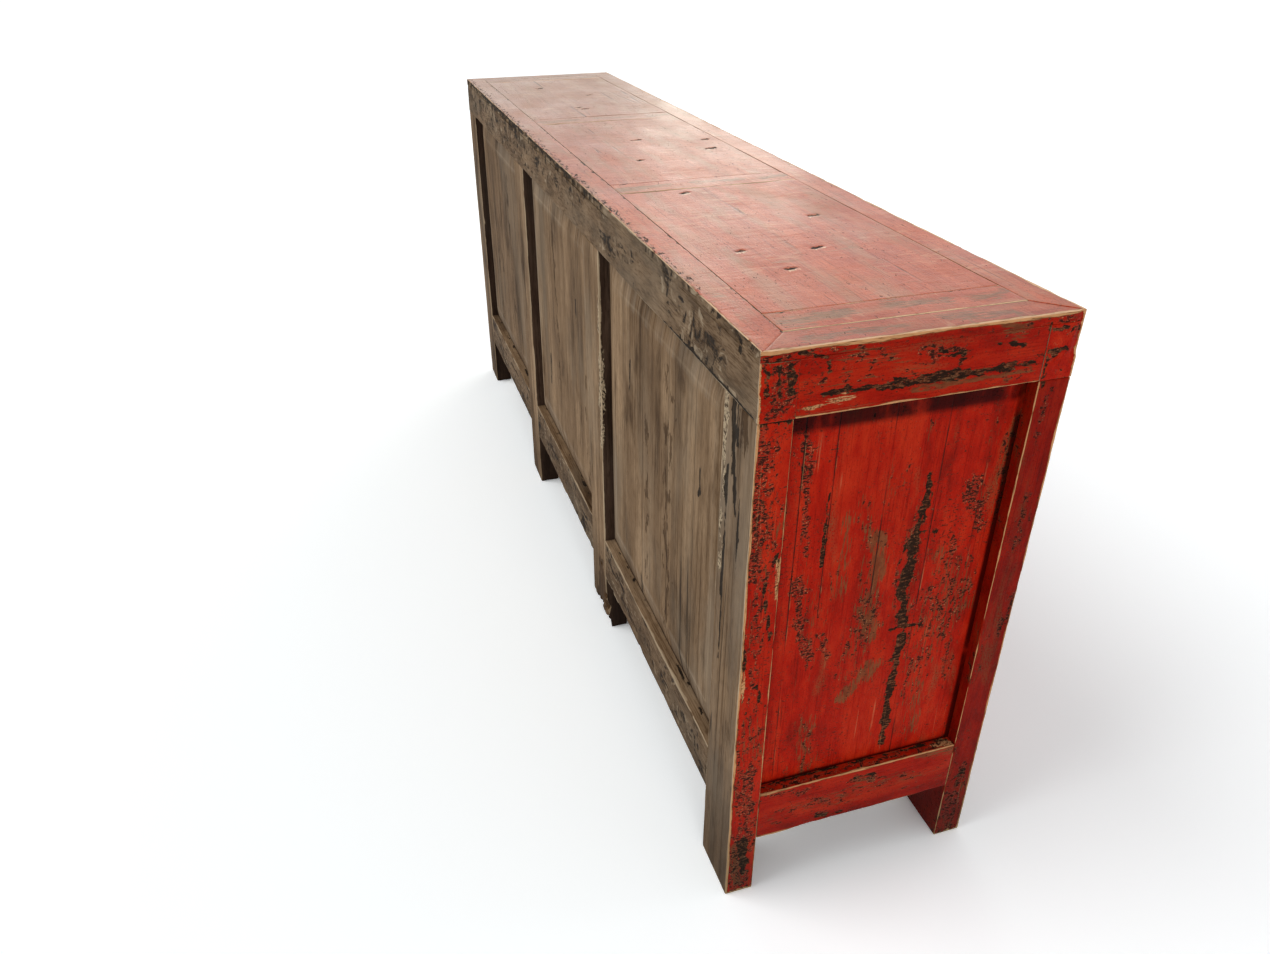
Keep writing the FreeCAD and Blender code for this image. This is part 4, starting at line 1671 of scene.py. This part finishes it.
@dataclass
class TopFrame:
    """The top: two long and two end rails, mitred on their upper faces, four battens and three panels."""

    plan: Plan
    yard: Yard
    mitre_depth: float = 14.0 * MM
    corner_reach: float = 13.0
    corner_depth: float = 4.0
    corner_drop: float = 45.0

    def build(self) -> None:
        """Builds the rails, the battens and the panels."""
        for face in ROWS:
            self.long_rail(face)
        for face in ENDS:
            self.end_rail(face)
        self.battens()
        self.panels()

    def seam(self, node: str) -> float:
        """Height of the plane between a rail's square lower part and its mitred upper part."""
        return trimmed(node)[1][2] - self.mitre_depth

    def soft_corners(self) -> tuple[Mark, ...]:
        """Breaks that round the four upper corners of the top, most at the upper face.

        Returns:
            The breaks of both ends.
        """
        top = self.plan.top / MM
        rows = tuple(
            (edge / MM, top, edge / MM, top - self.corner_drop, self.corner_reach, self.corner_depth)
            for edge in (self.plan.front, self.plan.back)
        )
        return marked(Side.LEFT, {Hurt.RUBBED: rows}) + marked(Side.RIGHT, {Hurt.RUBBED: rows})

    def long_rail(self, face: Side) -> None:
        """One long rail: a square part with a mitred part on it.

        Args:
            face: Outer side of the rail.
        """
        at_back = face is Side.BACK
        node = f"{face.word}_top_rail"
        low, high = trimmed(node)
        seam = self.seam(node)
        outside = Coat.RAIL if at_back else Coat.RED
        coats = {face: outside, face.opposite: Coat.INSIDE, Side.UNDER: outside, Side.TOP: outside}
        coats |= {Side.LEFT: Coat.RED, Side.RIGHT: Coat.RED}
        if at_back:
            gap = low[1] / MM
            joint = (low[0] / MM, gap, high[0] / MM, gap, 2.2, 0.0, 0.8)
            marks = marked(face, BACK_RAIL_HURTS)
            marks += marked(Side.TOP, BACK_ARRIS_HURTS | {Hurt.SPLIT: (joint,)})
        else:
            marks = scatter(node, face, (low, high), 0, 26)
        marks += end_hurts(Side.LEFT) + end_hurts(Side.RIGHT)
        rubbed = Worn(face, Side.TOP, *((4.0, 5.0) if at_back else (8.0, 2.0)))
        ends = (Worn(Side.LEFT, face, 5.0), Worn(Side.RIGHT, face, 5.0))
        shared = dict(along=0, marks=marks, swell=0.5 * MM, cap_rings=6, broken=self.soft_corners())
        lower = Board(
            node, trimmed(node, high_z=seam), coats=coats, end_arris=0.6 * MM,
            worn=(*ends, Worn(face, Side.UNDER, 2.0, 1.0)), tight=(Side.TOP,), **shared,
        )
        upper = Board(
            node, trimmed(node, low_z=seam), coats=coats | {Side.TOP: Coat.FADED}, arris=1.1 * MM,
            end_arris=0.4 * MM, mitre=face,
            mitre_ratio=(trimmed("left_end_top_rail")[1][0] - low[0]) / (high[1] - low[1]),
            worn=(rubbed, *ends), tight=(Side.UNDER,), **shared,
        )
        self.yard.place(node, slot_of(face), [lower, upper])

    def end_rail(self, face: Side) -> None:
        """One end rail: a square part between the long rails, with a mitred part that reaches the corners.

        Args:
            face: Outer side of the rail.
        """
        node = f"{face.word}_end_top_rail"
        low, high = trimmed(node)
        seam = self.seam(node)
        coats = {side: Coat.RED for side in (face, Side.UNDER, Side.FRONT, Side.BACK)}
        coats[Side.TOP] = Coat.FADED
        worn_through = ((1000, 150, 998, 30, 14.0, 0.0, 0.75), (992, -30, 1000, -110, 15.0, 0.0, 0.75))
        marks = end_hurts(face) + marked(Side.TOP, {Hurt.RUBBED: worn_through}, face.sign)
        broken = self.soft_corners()
        shared = dict(along=1, coats=coats, marks=marks, swell=0.5 * MM, soil=0.14, broken=broken)
        between = {"low_y": self.plan.front_rail_inner, "high_y": self.plan.back_rail_inner}
        lower = Board(
            node, trimmed(node, high_z=seam, **between), arris=1.0 * MM, end_arris=0.5 * MM,
            worn=(Worn(face, Side.UNDER, 4.0, 1.2),), wavy={Side.UNDER: 1.5 * MM}, tight=(Side.TOP,),
            **shared,
        )
        upper = Board(
            node, trimmed(node, low_z=seam), arris=1.3 * MM, end_arris=0.4 * MM, mitre=face,
            mitre_ratio=(self.plan.back - self.plan.back_rail_inner) / (high[0] - low[0]),
            worn=(Worn(face, Side.TOP, 9.0, 1.2),), tight=(Side.UNDER,), **shared,
        )
        self.yard.place(node, Slot.LACQUER, [lower, upper])

    def battens(self) -> None:
        """The four cross battens, each with its upper face flush with the panels."""
        for place in BATTENS:
            node = f"{place}_top_batten"
            box = trimmed(node, low_y=self.plan.front_rail_inner, high_y=self.plan.back_rail_inner)
            middle = 0.5 * (box[0][0] + box[1][0]) / MM
            edge = box[1][0] / MM
            # The dark line along the right edge is the joint and painted shade at the batten's far side; the
            # wider rubbed band on the left edge is worn wood and a painted highlight.
            rows = {
                Hurt.RUBBED: (
                    (middle - 6, 150, middle + 4, 70, 20.0, 0.0, 0.75),
                    (middle + 8, 20, middle, -60, 18.0, 0.0, 0.7),
                    (middle - 4, -100, middle + 6, -150, 16.0, 0.0, 0.7),
                ),
                Hurt.SPLIT: ((edge, 164, edge, -152, 2.6, 0.0, 0.8),),
            }
            worn = (Worn(Side.TOP, Side.LEFT, 4.5, 0.8), Worn(Side.TOP, Side.RIGHT, 3.0, 0.5))
            marks = marked(Side.TOP, rows)
            coats = {Side.TOP: Coat.FADED}
            board = Board(node, box, 1, coats, arris=1.3 * MM, swell=0.6 * MM, worn=worn, marks=marks)
            self.yard.place(node, Slot.LACQUER, [board])

    def panels(self) -> None:
        """The three top panels, slightly hollow, with a few dents that have a bare lip."""
        for bay, near, far in zip(BAYS, BATTENS[:-1], BATTENS[1:]):
            node = f"{bay}_top_panel"
            box = trimmed(
                node, low_x=trimmed(f"{near}_top_batten")[1][0], high_x=trimmed(f"{far}_top_batten")[0][0],
                low_y=self.plan.front_rail_inner, high_y=self.plan.back_rail_inner,
            )
            rows = {
                Hurt.SPLIT: tuple((x, y, x + 3, y - run, 5.5, 1.8) for x, y, run in DENTS[bay]),
                Hurt.FLAKED: tuple((x - 7, y + 2, x - 4, y - run, 3.6, 0.0, 0.8) for x, y, run in DENTS[bay]),
            }
            board = Board(
                node, box, 0, {Side.TOP: Coat.FADED}, arris=0.9 * MM, swell=0.9 * MM, pitch=3.2 * MM,
                marks=marked(Side.TOP, rows), joints=TOP_JOINTS[bay], joint_axis=1,
            )
            self.yard.place(node, Slot.LACQUER, [board])


@dataclass
class Case:
    """The upright work: posts with their feet, bottom rails, end panels and fielded back panels."""

    plan: Plan
    yard: Yard
    reveal: float = 20.0 * MM
    ledge_gap: float = 6.0
    beyond: float = 1.0
    broken_foot: Row = (-380, -12, -250, -12, 74.0, 24.0)

    def build(self) -> None:
        """Builds the posts, rails and panels."""
        for row in ROWS:
            for place in POSTS:
                self.post(row, place)
            for bay in BAYS:
                self.bottom_rail(row, bay)
        for end in ENDS:
            self.end_rail(end)
            self.end_panel(end)
        for bay in BAYS:
            self.back_panel(bay)

    @staticmethod
    def post_hurts(row: Side, place: str, box: Box) -> tuple[Mark, ...]:
        """Hurts of a post: those of its end, chance ones on the front, cracks and torn arrises on the back.

        Args:
            row: Side of the case that the post stands in.
            place: Which post of the row.
            box: Lowest and highest corner of the post.

        Returns:
            The marks.
        """
        marks = ()
        if row is Side.FRONT:
            marks += scatter(f"{row.name} {place}", row, box, 2, 14)
        if place.endswith("corner"):
            marks += end_hurts(Side.LEFT if place.startswith("left") else Side.RIGHT)
        if row is Side.BACK:
            marks += marked(row, POST_HURTS.get(place, {}))
            if place == "left_inner":
                marks += marked(Side.LEFT, {Hurt.FLAKED: ((207, 720, 207, 440, 6.0, 0.0, 0.8),)})
        return marks

    def post(self, row: Side, place: str) -> None:
        """One post, from its foot to the underside of the top.

        Args:
            row: Side of the case that it stands in.
            place: Which post of the row.
        """
        at_back = row is Side.BACK
        node = f"{row.word}_{place}_post"
        box = trimmed(node, high_z=self.plan.rail_under)
        low, high = box
        inner = row.opposite
        # Post sides face into the bays: dark stain with painted shade.
        flank = Coat.REVEAL if at_back else Coat.RED
        coats = {row: Coat.BACK if at_back else Coat.RED, Side.LEFT: flank, Side.RIGHT: flank}
        foot = at_back and place == "left_inner"
        at_left = Worn(row, Side.LEFT, 6.0, 2.5) if foot else Worn(row, Side.LEFT, 4.0, 1.0)
        worn = (at_left, Worn(row, Side.RIGHT, 4.0, 1.0))
        patches = ()
        soil = silvered = 0.0
        if place.endswith("corner"):
            end = Side.LEFT if place.startswith("left") else Side.RIGHT
            coats[end] = Coat.RED
            worn = (
                Worn(row, end, 6.0, 1.2), Worn(inner, end, 3.5 if at_back else 2.6, 1.5),
                Worn(end, Side.UNDER, 9.0), Worn(row, Side.UNDER, 8.0), Worn(row, end.opposite, 4.0, 1.0),
            )
            outer = (low[0] - self.beyond, low[0] + self.reveal)
            if end is Side.RIGHT:
                outer = (high[0] - self.reveal, high[0] + self.beyond)
            patches = (Patch(inner, 0, *outer, Coat.RED),)
            if at_back:
                silvered = 0.35 if end is Side.LEFT else 0.0
            else:
                # The front corner posts are darker all over: painted shade.
                soil = 0.45
                below = trimmed("left_end_bottom_rail")[0][2]
                patches += (Patch(inner, 2, low[2] - self.beyond, below, Coat.RED),)
        board = Board(
            node, box, 2, coats, arris=1.5 * MM, end_arris=2.0 * MM, swell=0.6 * MM, worn=worn,
            patches=patches, marks=self.post_hurts(row, place, box),
            broken=marked(row, {Hurt.SPLIT: (self.broken_foot,)}) if foot else (), silvered=silvered,
            soil=soil,
        )
        self.yard.place(node, slot_of(row), [board])

    def bottom_rail(self, row: Side, bay: str) -> None:
        """One bottom rail between two posts, with a rubbed upper arris and a rough lower edge.

        Args:
            row: Side of the case that it lies in.
            bay: Which bay it closes.
        """
        at_back = row is Side.BACK
        node = f"{row.word}_{bay}_bottom_rail"
        near, far = self.plan.bays[bay]
        box = trimmed(node, low_x=near, high_x=far)
        outside = Coat.RAIL if at_back else Coat.RED
        coats = {row: outside, Side.TOP: Coat.BACK if at_back else Coat.RED, Side.UNDER: outside}
        marks = scatter(node, row, box, 0, 14)
        if at_back:
            seat = trimmed(f"{bay}_back_panel")[1][1] / MM - self.ledge_gap
            marks += marked(Side.TOP, {Hurt.SPLIT: ((near / MM, seat, far / MM, seat, 2.4, 0.3, 0.7),)})
            middle = 0.5 * (box[0][2] + box[1][2]) / MM
            chipped = (near / MM, middle - 8, far / MM, middle + 6, 46.0, 0.6, 0.45)
            marks += marked(row, {Hurt.CRAZED: (chipped,)})
        board = Board(
            node, box, 0, coats, arris=1.8 * MM, swell=0.8 * MM,
            worn=(Worn(row, Side.TOP, 5.0, 2.5), Worn(row, Side.UNDER, 5.0, 4.0)), marks=marks,
            wavy={Side.UNDER: 8.0 * MM if at_back else 2.0 * MM},
        )
        self.yard.place(node, slot_of(row), [board])

    def end_rail(self, end: Side) -> None:
        """One end's bottom rail, with a worn ledge above it and a slightly wavy lower edge.

        Args:
            end: Which end it closes.
        """
        node = f"{end.word}_end_bottom_rail"
        between = {
            "low_y": trimmed("front_left_corner_post")[1][1],
            "high_y": trimmed("back_left_corner_post")[0][1],
        }
        ledge = {
            Hurt.SPLIT: ((1003, 160, 1003, -150, 3, 0.3),),
            Hurt.CRAZED: ((1010, 150, 1010, -140, 14, 0.3, 0.55),),
            Hurt.FLAKED: ((1010, -122, 1012, -146, 9),),
        }
        board = Board(
            node, trimmed(node, **between), 1, {side: Coat.RED for side in (end, Side.TOP, Side.UNDER)},
            arris=1.6 * MM, swell=0.6 * MM,
            worn=(Worn(end, Side.TOP, 4.5, 1.8), Worn(end, Side.UNDER, 3.0, 2.0)),
            marks=end_hurts(end) + marked(Side.TOP, ledge, end.sign), soil=0.14, wavy={Side.UNDER: 4.0 * MM},
        )
        self.yard.place(node, Slot.LACQUER, [board])

    def end_panel(self, end: Side) -> None:
        """One flat end panel with painted shade along its rim, widest under the top rail for that rail's
        shadow.

        Args:
            end: Which end it closes.
        """
        node = f"{end.word}_end_panel"
        board = Board(
            node, trimmed(node), 2, {end: Coat.RED}, swell=0.7 * MM, pitch=4.0 * MM,
            # Painted shade: the top band is the top rail's shadow, the narrow bands the shade of the recess
            # by the posts and rail.
            soot={Side.TOP: 42.0 * MM, Side.FRONT: 17.0 * MM, Side.BACK: 18.0 * MM, Side.UNDER: 14.0 * MM},
            marks=marked(end, PANEL_HURTS, -end.sign), joints=END_JOINTS, joint_axis=1,
        )
        self.yard.place(node, Slot.LACQUER, [board])

    def back_panel(self, bay: str) -> None:
        """One back panel with its raised field.

        Args:
            bay: Which bay it closes.
        """
        node = f"{bay}_back_panel"
        low, high = trimmed(node)
        board = FieldedPanel(
            node, (low, high), 2, {Side.BACK: Coat.BACK}, swell=0.8 * MM,
            # Painted shade in the recess along the rim; on the right bay the soil also paints a fall of
            # light.
            soot={side: 17.0 * MM for side in RIM}, arris=0.8 * MM,
            soil=0.25 if bay == "right" else 0.0, marks=marked(Side.BACK, BACK_PANEL_HURTS[bay]),
            joints=tuple((low[0] + BACK_JOINT_SHARES * (high[0] - low[0])) / MM),
        )
        self.yard.place(node, Slot.BACK, [board])


@dataclass
class Door:
    """One pivot-hung door: hinge stile with a half-round edge, meeting stile, two rails and a panel."""

    yard: Yard
    bay: str
    hand: Side
    hinge_stile: float = 48.0 * MM
    meeting_stile: float = 50.0 * MM
    rail: float = 56.0 * MM
    lower_pivot: float = 10.0 * MM
    upper_pivot: float = 12.0 * MM
    pivot_radius: float = 8.9 * MM
    pitch: float = 6.0 * MM
    plate: float = 1.6 * MM
    plate_bevel: float = 0.5 * MM
    pull_bevel: float = 0.6 * MM
    nail_ring: float = 39.0 * MM
    nail_radius: float = 2.6 * MM
    nail_height: float = 1.5 * MM
    nail_angles: tuple[float, ...] = (76.0, 14.0, -76.0)

    @property
    def name(self) -> str:
        """The door's name, which its body also has."""
        return f"{self.bay}_bay_{self.hand.word}_door"

    def build(self) -> None:
        """Builds the frame and the panel, and dresses the brass."""
        self.yard.place(f"{self.name}_frame", Slot.LACQUER, self.frame(), self.name)
        self.yard.place(f"{self.name}_panel", Slot.LACQUER, [self.panel()], self.name)
        self.yard.add(f"{self.name}_lock_plate_nails", Slot.BRASS, self.nails(), self.name)
        brass = self.yard.palette.made[Coat.BRASS]
        self.yard.keep(f"{self.name}_lock_plate", Slot.BRASS, brass, self.plate_bevel)
        self.yard.keep(f"{self.name}_pull", Slot.BRASS, brass, self.pull_bevel)

    def frame(self) -> list[Board]:
        """The stiles, the rails and the two pivots.

        Returns:
            The boards of the frame.
        """
        low, high = trimmed(f"{self.name}_frame")
        low[2] += self.lower_pivot
        high[2] -= self.upper_pivot
        coats = {side: Coat.RED for side in Side if side is not Side.BACK}
        widths = {self.hand: self.hinge_stile, self.hand.opposite: self.meeting_stile}
        inner_low = low[0] + widths[Side.LEFT]
        inner_high = high[0] - widths[Side.RIGHT]
        boards = []
        for side, near, far in ((Side.LEFT, low[0], inner_low), (Side.RIGHT, inner_high, high[0])):
            board = Board(
                f"{self.name} {side.name} stile", (np.array([near, *low[1:]]), np.array([far, *high[1:]])),
                2, coats, round_side=side if side is self.hand else None,
                worn=tuple(Worn(Side.FRONT, edge, 5.0, 0.8) for edge in (side.opposite, self.hand.opposite)),
                marks=scatter(f"{self.name} {side.name}", Side.FRONT, (low, high), 2, 14), pitch=self.pitch,
            )
            boards.append(board)
        for base, label in ((low[2], "lower"), (high[2] - self.rail, "upper")):
            board = Board(
                f"{self.name} {label} rail",
                (np.array([inner_low, low[1], base]), np.array([inner_high, high[1], base + self.rail])), 0,
                coats, worn=tuple(Worn(Side.FRONT, edge, 5.0, 0.8) for edge in (Side.TOP, Side.UNDER)),
                pitch=self.pitch,
            )
            boards.append(board)
        return boards + self.pivots(low, high)

    def pivots(self, low: Array, high: Array) -> list[Board]:
        """The two turned pivots, as boards whose section is fully round.

        Args:
            low: Lowest corner of the frame without its pivots.
            high: Highest corner.

        Returns:
            The lower and the upper pivot.
        """
        thick = 0.5 * (high[1] - low[1])
        centre_x = low[0] + thick if self.hand is Side.LEFT else high[0] - thick
        centre = np.array([centre_x, 0.5 * (low[1] + high[1])])
        near, far = centre - self.pivot_radius, centre + self.pivot_radius
        boards = []
        for base, tip in ((low[2] - self.lower_pivot, low[2]), (high[2], high[2] + self.upper_pivot)):
            box = (np.array([*near, base]), np.array([*far, tip]))
            label = f"{self.name} pivot {base:.3f}"
            boards.append(Board(label, box, 2, {}, arris=self.pivot_radius, swell=0.0, pitch=4.0 * MM))
        return boards

    def nails(self) -> list[Shell]:
        """The lock plate's nail heads, round an arc inside its rim.

        A head is a surface of revolution: its height falls with the cosine of a quarter turn while its
        radius grows with the sine, and a middle point closes it at the tip and at the back.

        Returns:
            One shell for each head.
        """
        low, high = trimmed(f"{self.name}_lock_plate")
        meeting = high[0] if self.hand is Side.LEFT else low[0]
        face = trimmed(f"{self.name}_frame")[0][1] - self.plate
        turns = (np.linspace(0.15, 0.5, 5) * math.pi, np.arange(16) * math.pi / 8.0)
        rise, spin = np.meshgrid(*turns, indexing="ij")
        radius, height = self.nail_radius * np.sin(rise), self.nail_height * np.cos(rise)
        quads, tris = ring_faces(*rise.shape)
        coats = [np.full(len(faces), Coat.BRASS) for faces in (quads, tris)]
        shells = []
        for angle in np.radians(self.nail_angles):
            x = meeting + self.hand.sign * self.nail_ring * math.cos(angle)
            z = 0.5 * (low[2] + high[2]) + self.nail_ring * math.sin(angle)
            dome = np.stack([x + radius * np.sin(spin), face - height, z + radius * np.cos(spin)], axis=-1)
            tips = np.array([[x, face - self.nail_height, z], [x, face, z]])
            points = np.concatenate([dome.reshape(-1, 3), tips])
            shells.append(Shell(points, quads, tris, *coats, {"grain": points}))
        return shells

    def panel(self) -> Board:
        """The door's panel, with painted shade along its rim where it sits in the frame.

        Returns:
            The board.
        """
        node = f"{self.name}_panel"
        box = trimmed(node)
        return Board(
            node, box, 2, {Side.FRONT: Coat.RED}, marks=scatter(node, Side.FRONT, box, 2, 12),
            # Painted shade along the rim.
            soot={side: 20.0 * MM for side in RIM}, swell=0.6 * MM,
            pitch=self.pitch,
        )


@dataclass
class Inside:
    """The boards within: bearers, floor, shelf and door stops, shown as they are framed."""

    yard: Yard
    bevel: float = 1.0 * MM

    def build(self) -> None:
        """Gives each its finish."""
        for node, axis in (("cross_bearers", 1), ("floor_boards", 0), ("shelf_boards", 0), ("door_stops", 0)):
            self.yard.keep(node, Slot.INSIDE, self.yard.palette.plain[axis], self.bevel)


@dataclass(frozen=True)
class Sun:
    """A far lamp with soft shadows and no glare; strength in watts to the square metre, spread in degrees."""

    name: str
    toward: Triple
    strength: float
    spread: float
    colour: Triple

    def hang(self) -> None:
        """Links the lamp to the scene."""
        light = bpy.data.lights.new(self.name, "SUN")
        light.energy = self.strength
        light.angle = math.radians(self.spread)
        light.color = self.colour
        lamp = bpy.data.objects.new(self.name, light)
        lamp.rotation_euler = (-Vector(self.toward)).to_track_quat("-Z", "Y").to_euler()
        lamp.visible_glossy = False
        bpy.context.scene.collection.objects.link(lamp)


@dataclass(frozen=True)
class Card:
    """An even rectangle of light that the camera does not see, in metres and watts."""

    name: str
    place: Triple
    aim: Triple
    size: tuple[float, float]
    power: float
    colour: Triple

    def hang(self) -> None:
        """Links the lamp to the scene."""
        light = bpy.data.lights.new(self.name, "AREA")
        light.shape = "RECTANGLE"
        light.size, light.size_y = self.size
        light.energy = self.power
        light.color = self.colour
        lamp = bpy.data.objects.new(self.name, light)
        lamp.location = self.place
        lamp.rotation_euler = (Vector(self.aim) - Vector(self.place)).to_track_quat("-Z", "Y").to_euler()
        lamp.visible_camera = False
        bpy.context.scene.collection.objects.link(lamp)


LAMPS = (
    Sun("key", (0.22, 0.9, 0.92), 1.6, 48.0, (1.0, 0.98, 0.96)),
    Sun("end light", (-0.95, 0.16, 0.34), 1.2, 40.0, (1.0, 0.97, 0.94)),
    Sun("front fill", (0.25, -0.95, 0.28), 0.7, 60.0, (1.0, 0.98, 0.96)),
    Card("far card", (4.8, -1.8, 1.85), (0.0, -0.2, 0.88), (5.0, 2.4), 27.0, (1.0, 0.93, 0.84)),
    Card("glare", (2.9, -1.35, 1.45), (0.0, -0.16, 0.88), (0.8, 0.8), 6.5, (1.0, 0.95, 0.8)),
)


@dataclass
class Studio:
    """A pale floor, soft lamps, and the camera at the photo's standpoint."""

    standpoint: Triple = (-1.8546, 0.6059, 1.282)
    forward: Triple = (0.82216, -0.25319, -0.50985)
    roll: float = -0.312
    focal_pixels: float = 946.8
    photo_width: float = 1270.0
    sensor: float = 36.0
    floor_size: float = 60.0
    floor_light: Triple = (0.79, 0.81, 0.82)
    floor_shown: Triple = (1.15, 1.2, 1.23)
    sky_light: float = 0.4
    sky_shown: float = 1.0

    def build(self) -> None:
        """Sets up the floor, the light and the camera."""
        self.floor()
        self.world()
        for lamp in LAMPS:
            lamp.hang()
        self.camera()

    @staticmethod
    def looked_at(bench: Bench) -> Value:
        """1 on what the camera sees, straight or in a reflection, and 0 on what only gives light."""
        rays = ("Is Camera Ray", "Is Glossy Ray", "Is Transmission Ray")
        return bench.larger(*(bench.node("LightPath", {}, ray) for ray in rays))

    def floor(self) -> None:
        """A wide plain floor that keeps the shadow and is white to the camera where nothing shades it."""
        half = 0.5 * self.floor_size
        mesh = bpy.data.meshes.new("floor")
        corners = [(-half, -half, 0), (half, -half, 0), (half, half, 0), (-half, half, 0)]
        mesh.from_pydata(corners, [], [(0, 1, 2, 3)])
        floor = bpy.data.objects.new("floor", mesh)
        bpy.context.scene.collection.objects.link(floor)
        material = bpy.data.materials.new("pale floor")
        bench = Bench(material)
        colour = bench.mix(self.looked_at(bench), self.floor_light, self.floor_shown)
        bench.surface("Material", bench.node("BsdfDiffuse", {"Color": colour}))
        mesh.materials.append(material)

    def world(self) -> None:
        """An even white surround, softer as light than it looks to the camera."""
        world = bpy.data.worlds.new("studio")
        bpy.context.scene.world = world
        bench = Bench(world)
        inputs = {"To Min": self.sky_light, "To Max": self.sky_shown, "Value": self.looked_at(bench)}
        level = bench.node("MapRange", inputs)
        bench.surface("World", bench.node("Background", {"Color": (1.0, 1.0, 1.0), "Strength": level}))

    def camera(self) -> None:
        """The camera: forward from the standpoint, level but for a slight roll."""
        forward = Vector(self.forward).normalized()
        level = forward.cross(Vector((0.0, 0.0, 1.0))).normalized()
        upright = level.cross(forward)
        angle = math.radians(self.roll)
        right = math.cos(angle) * level + math.sin(angle) * upright
        up = right.cross(forward)
        data = bpy.data.cameras.new("photo camera")
        data.sensor_width = self.sensor
        data.lens = self.focal_pixels / self.photo_width * self.sensor
        camera = bpy.data.objects.new("photo camera", data)
        turn = Matrix((right, up, -forward)).transposed().to_4x4()
        camera.matrix_world = Matrix.Translation(Vector(self.standpoint)) @ turn
        bpy.context.scene.collection.objects.link(camera)
        bpy.context.scene.camera = camera


def main() -> None:
    """Loads the frame, builds every sub-assembly in order, then the studio."""
    logging.basicConfig(level=logging.INFO, format="%(message)s")
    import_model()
    bpy.context.scene.view_settings.view_transform = "Standard"
    plan = Plan.from_frame()
    yard = Yard(Palette())
    TopFrame(plan, yard).build()
    Case(plan, yard).build()
    for bay in BAYS:
        for hand in ENDS:
            Door(yard, bay, hand).build()
    Inside(yard).build()
    Studio().build()
    LOG.info("%d triangles in worn boards", yard.triangles)
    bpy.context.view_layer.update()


if __name__ == "__main__":
    main()
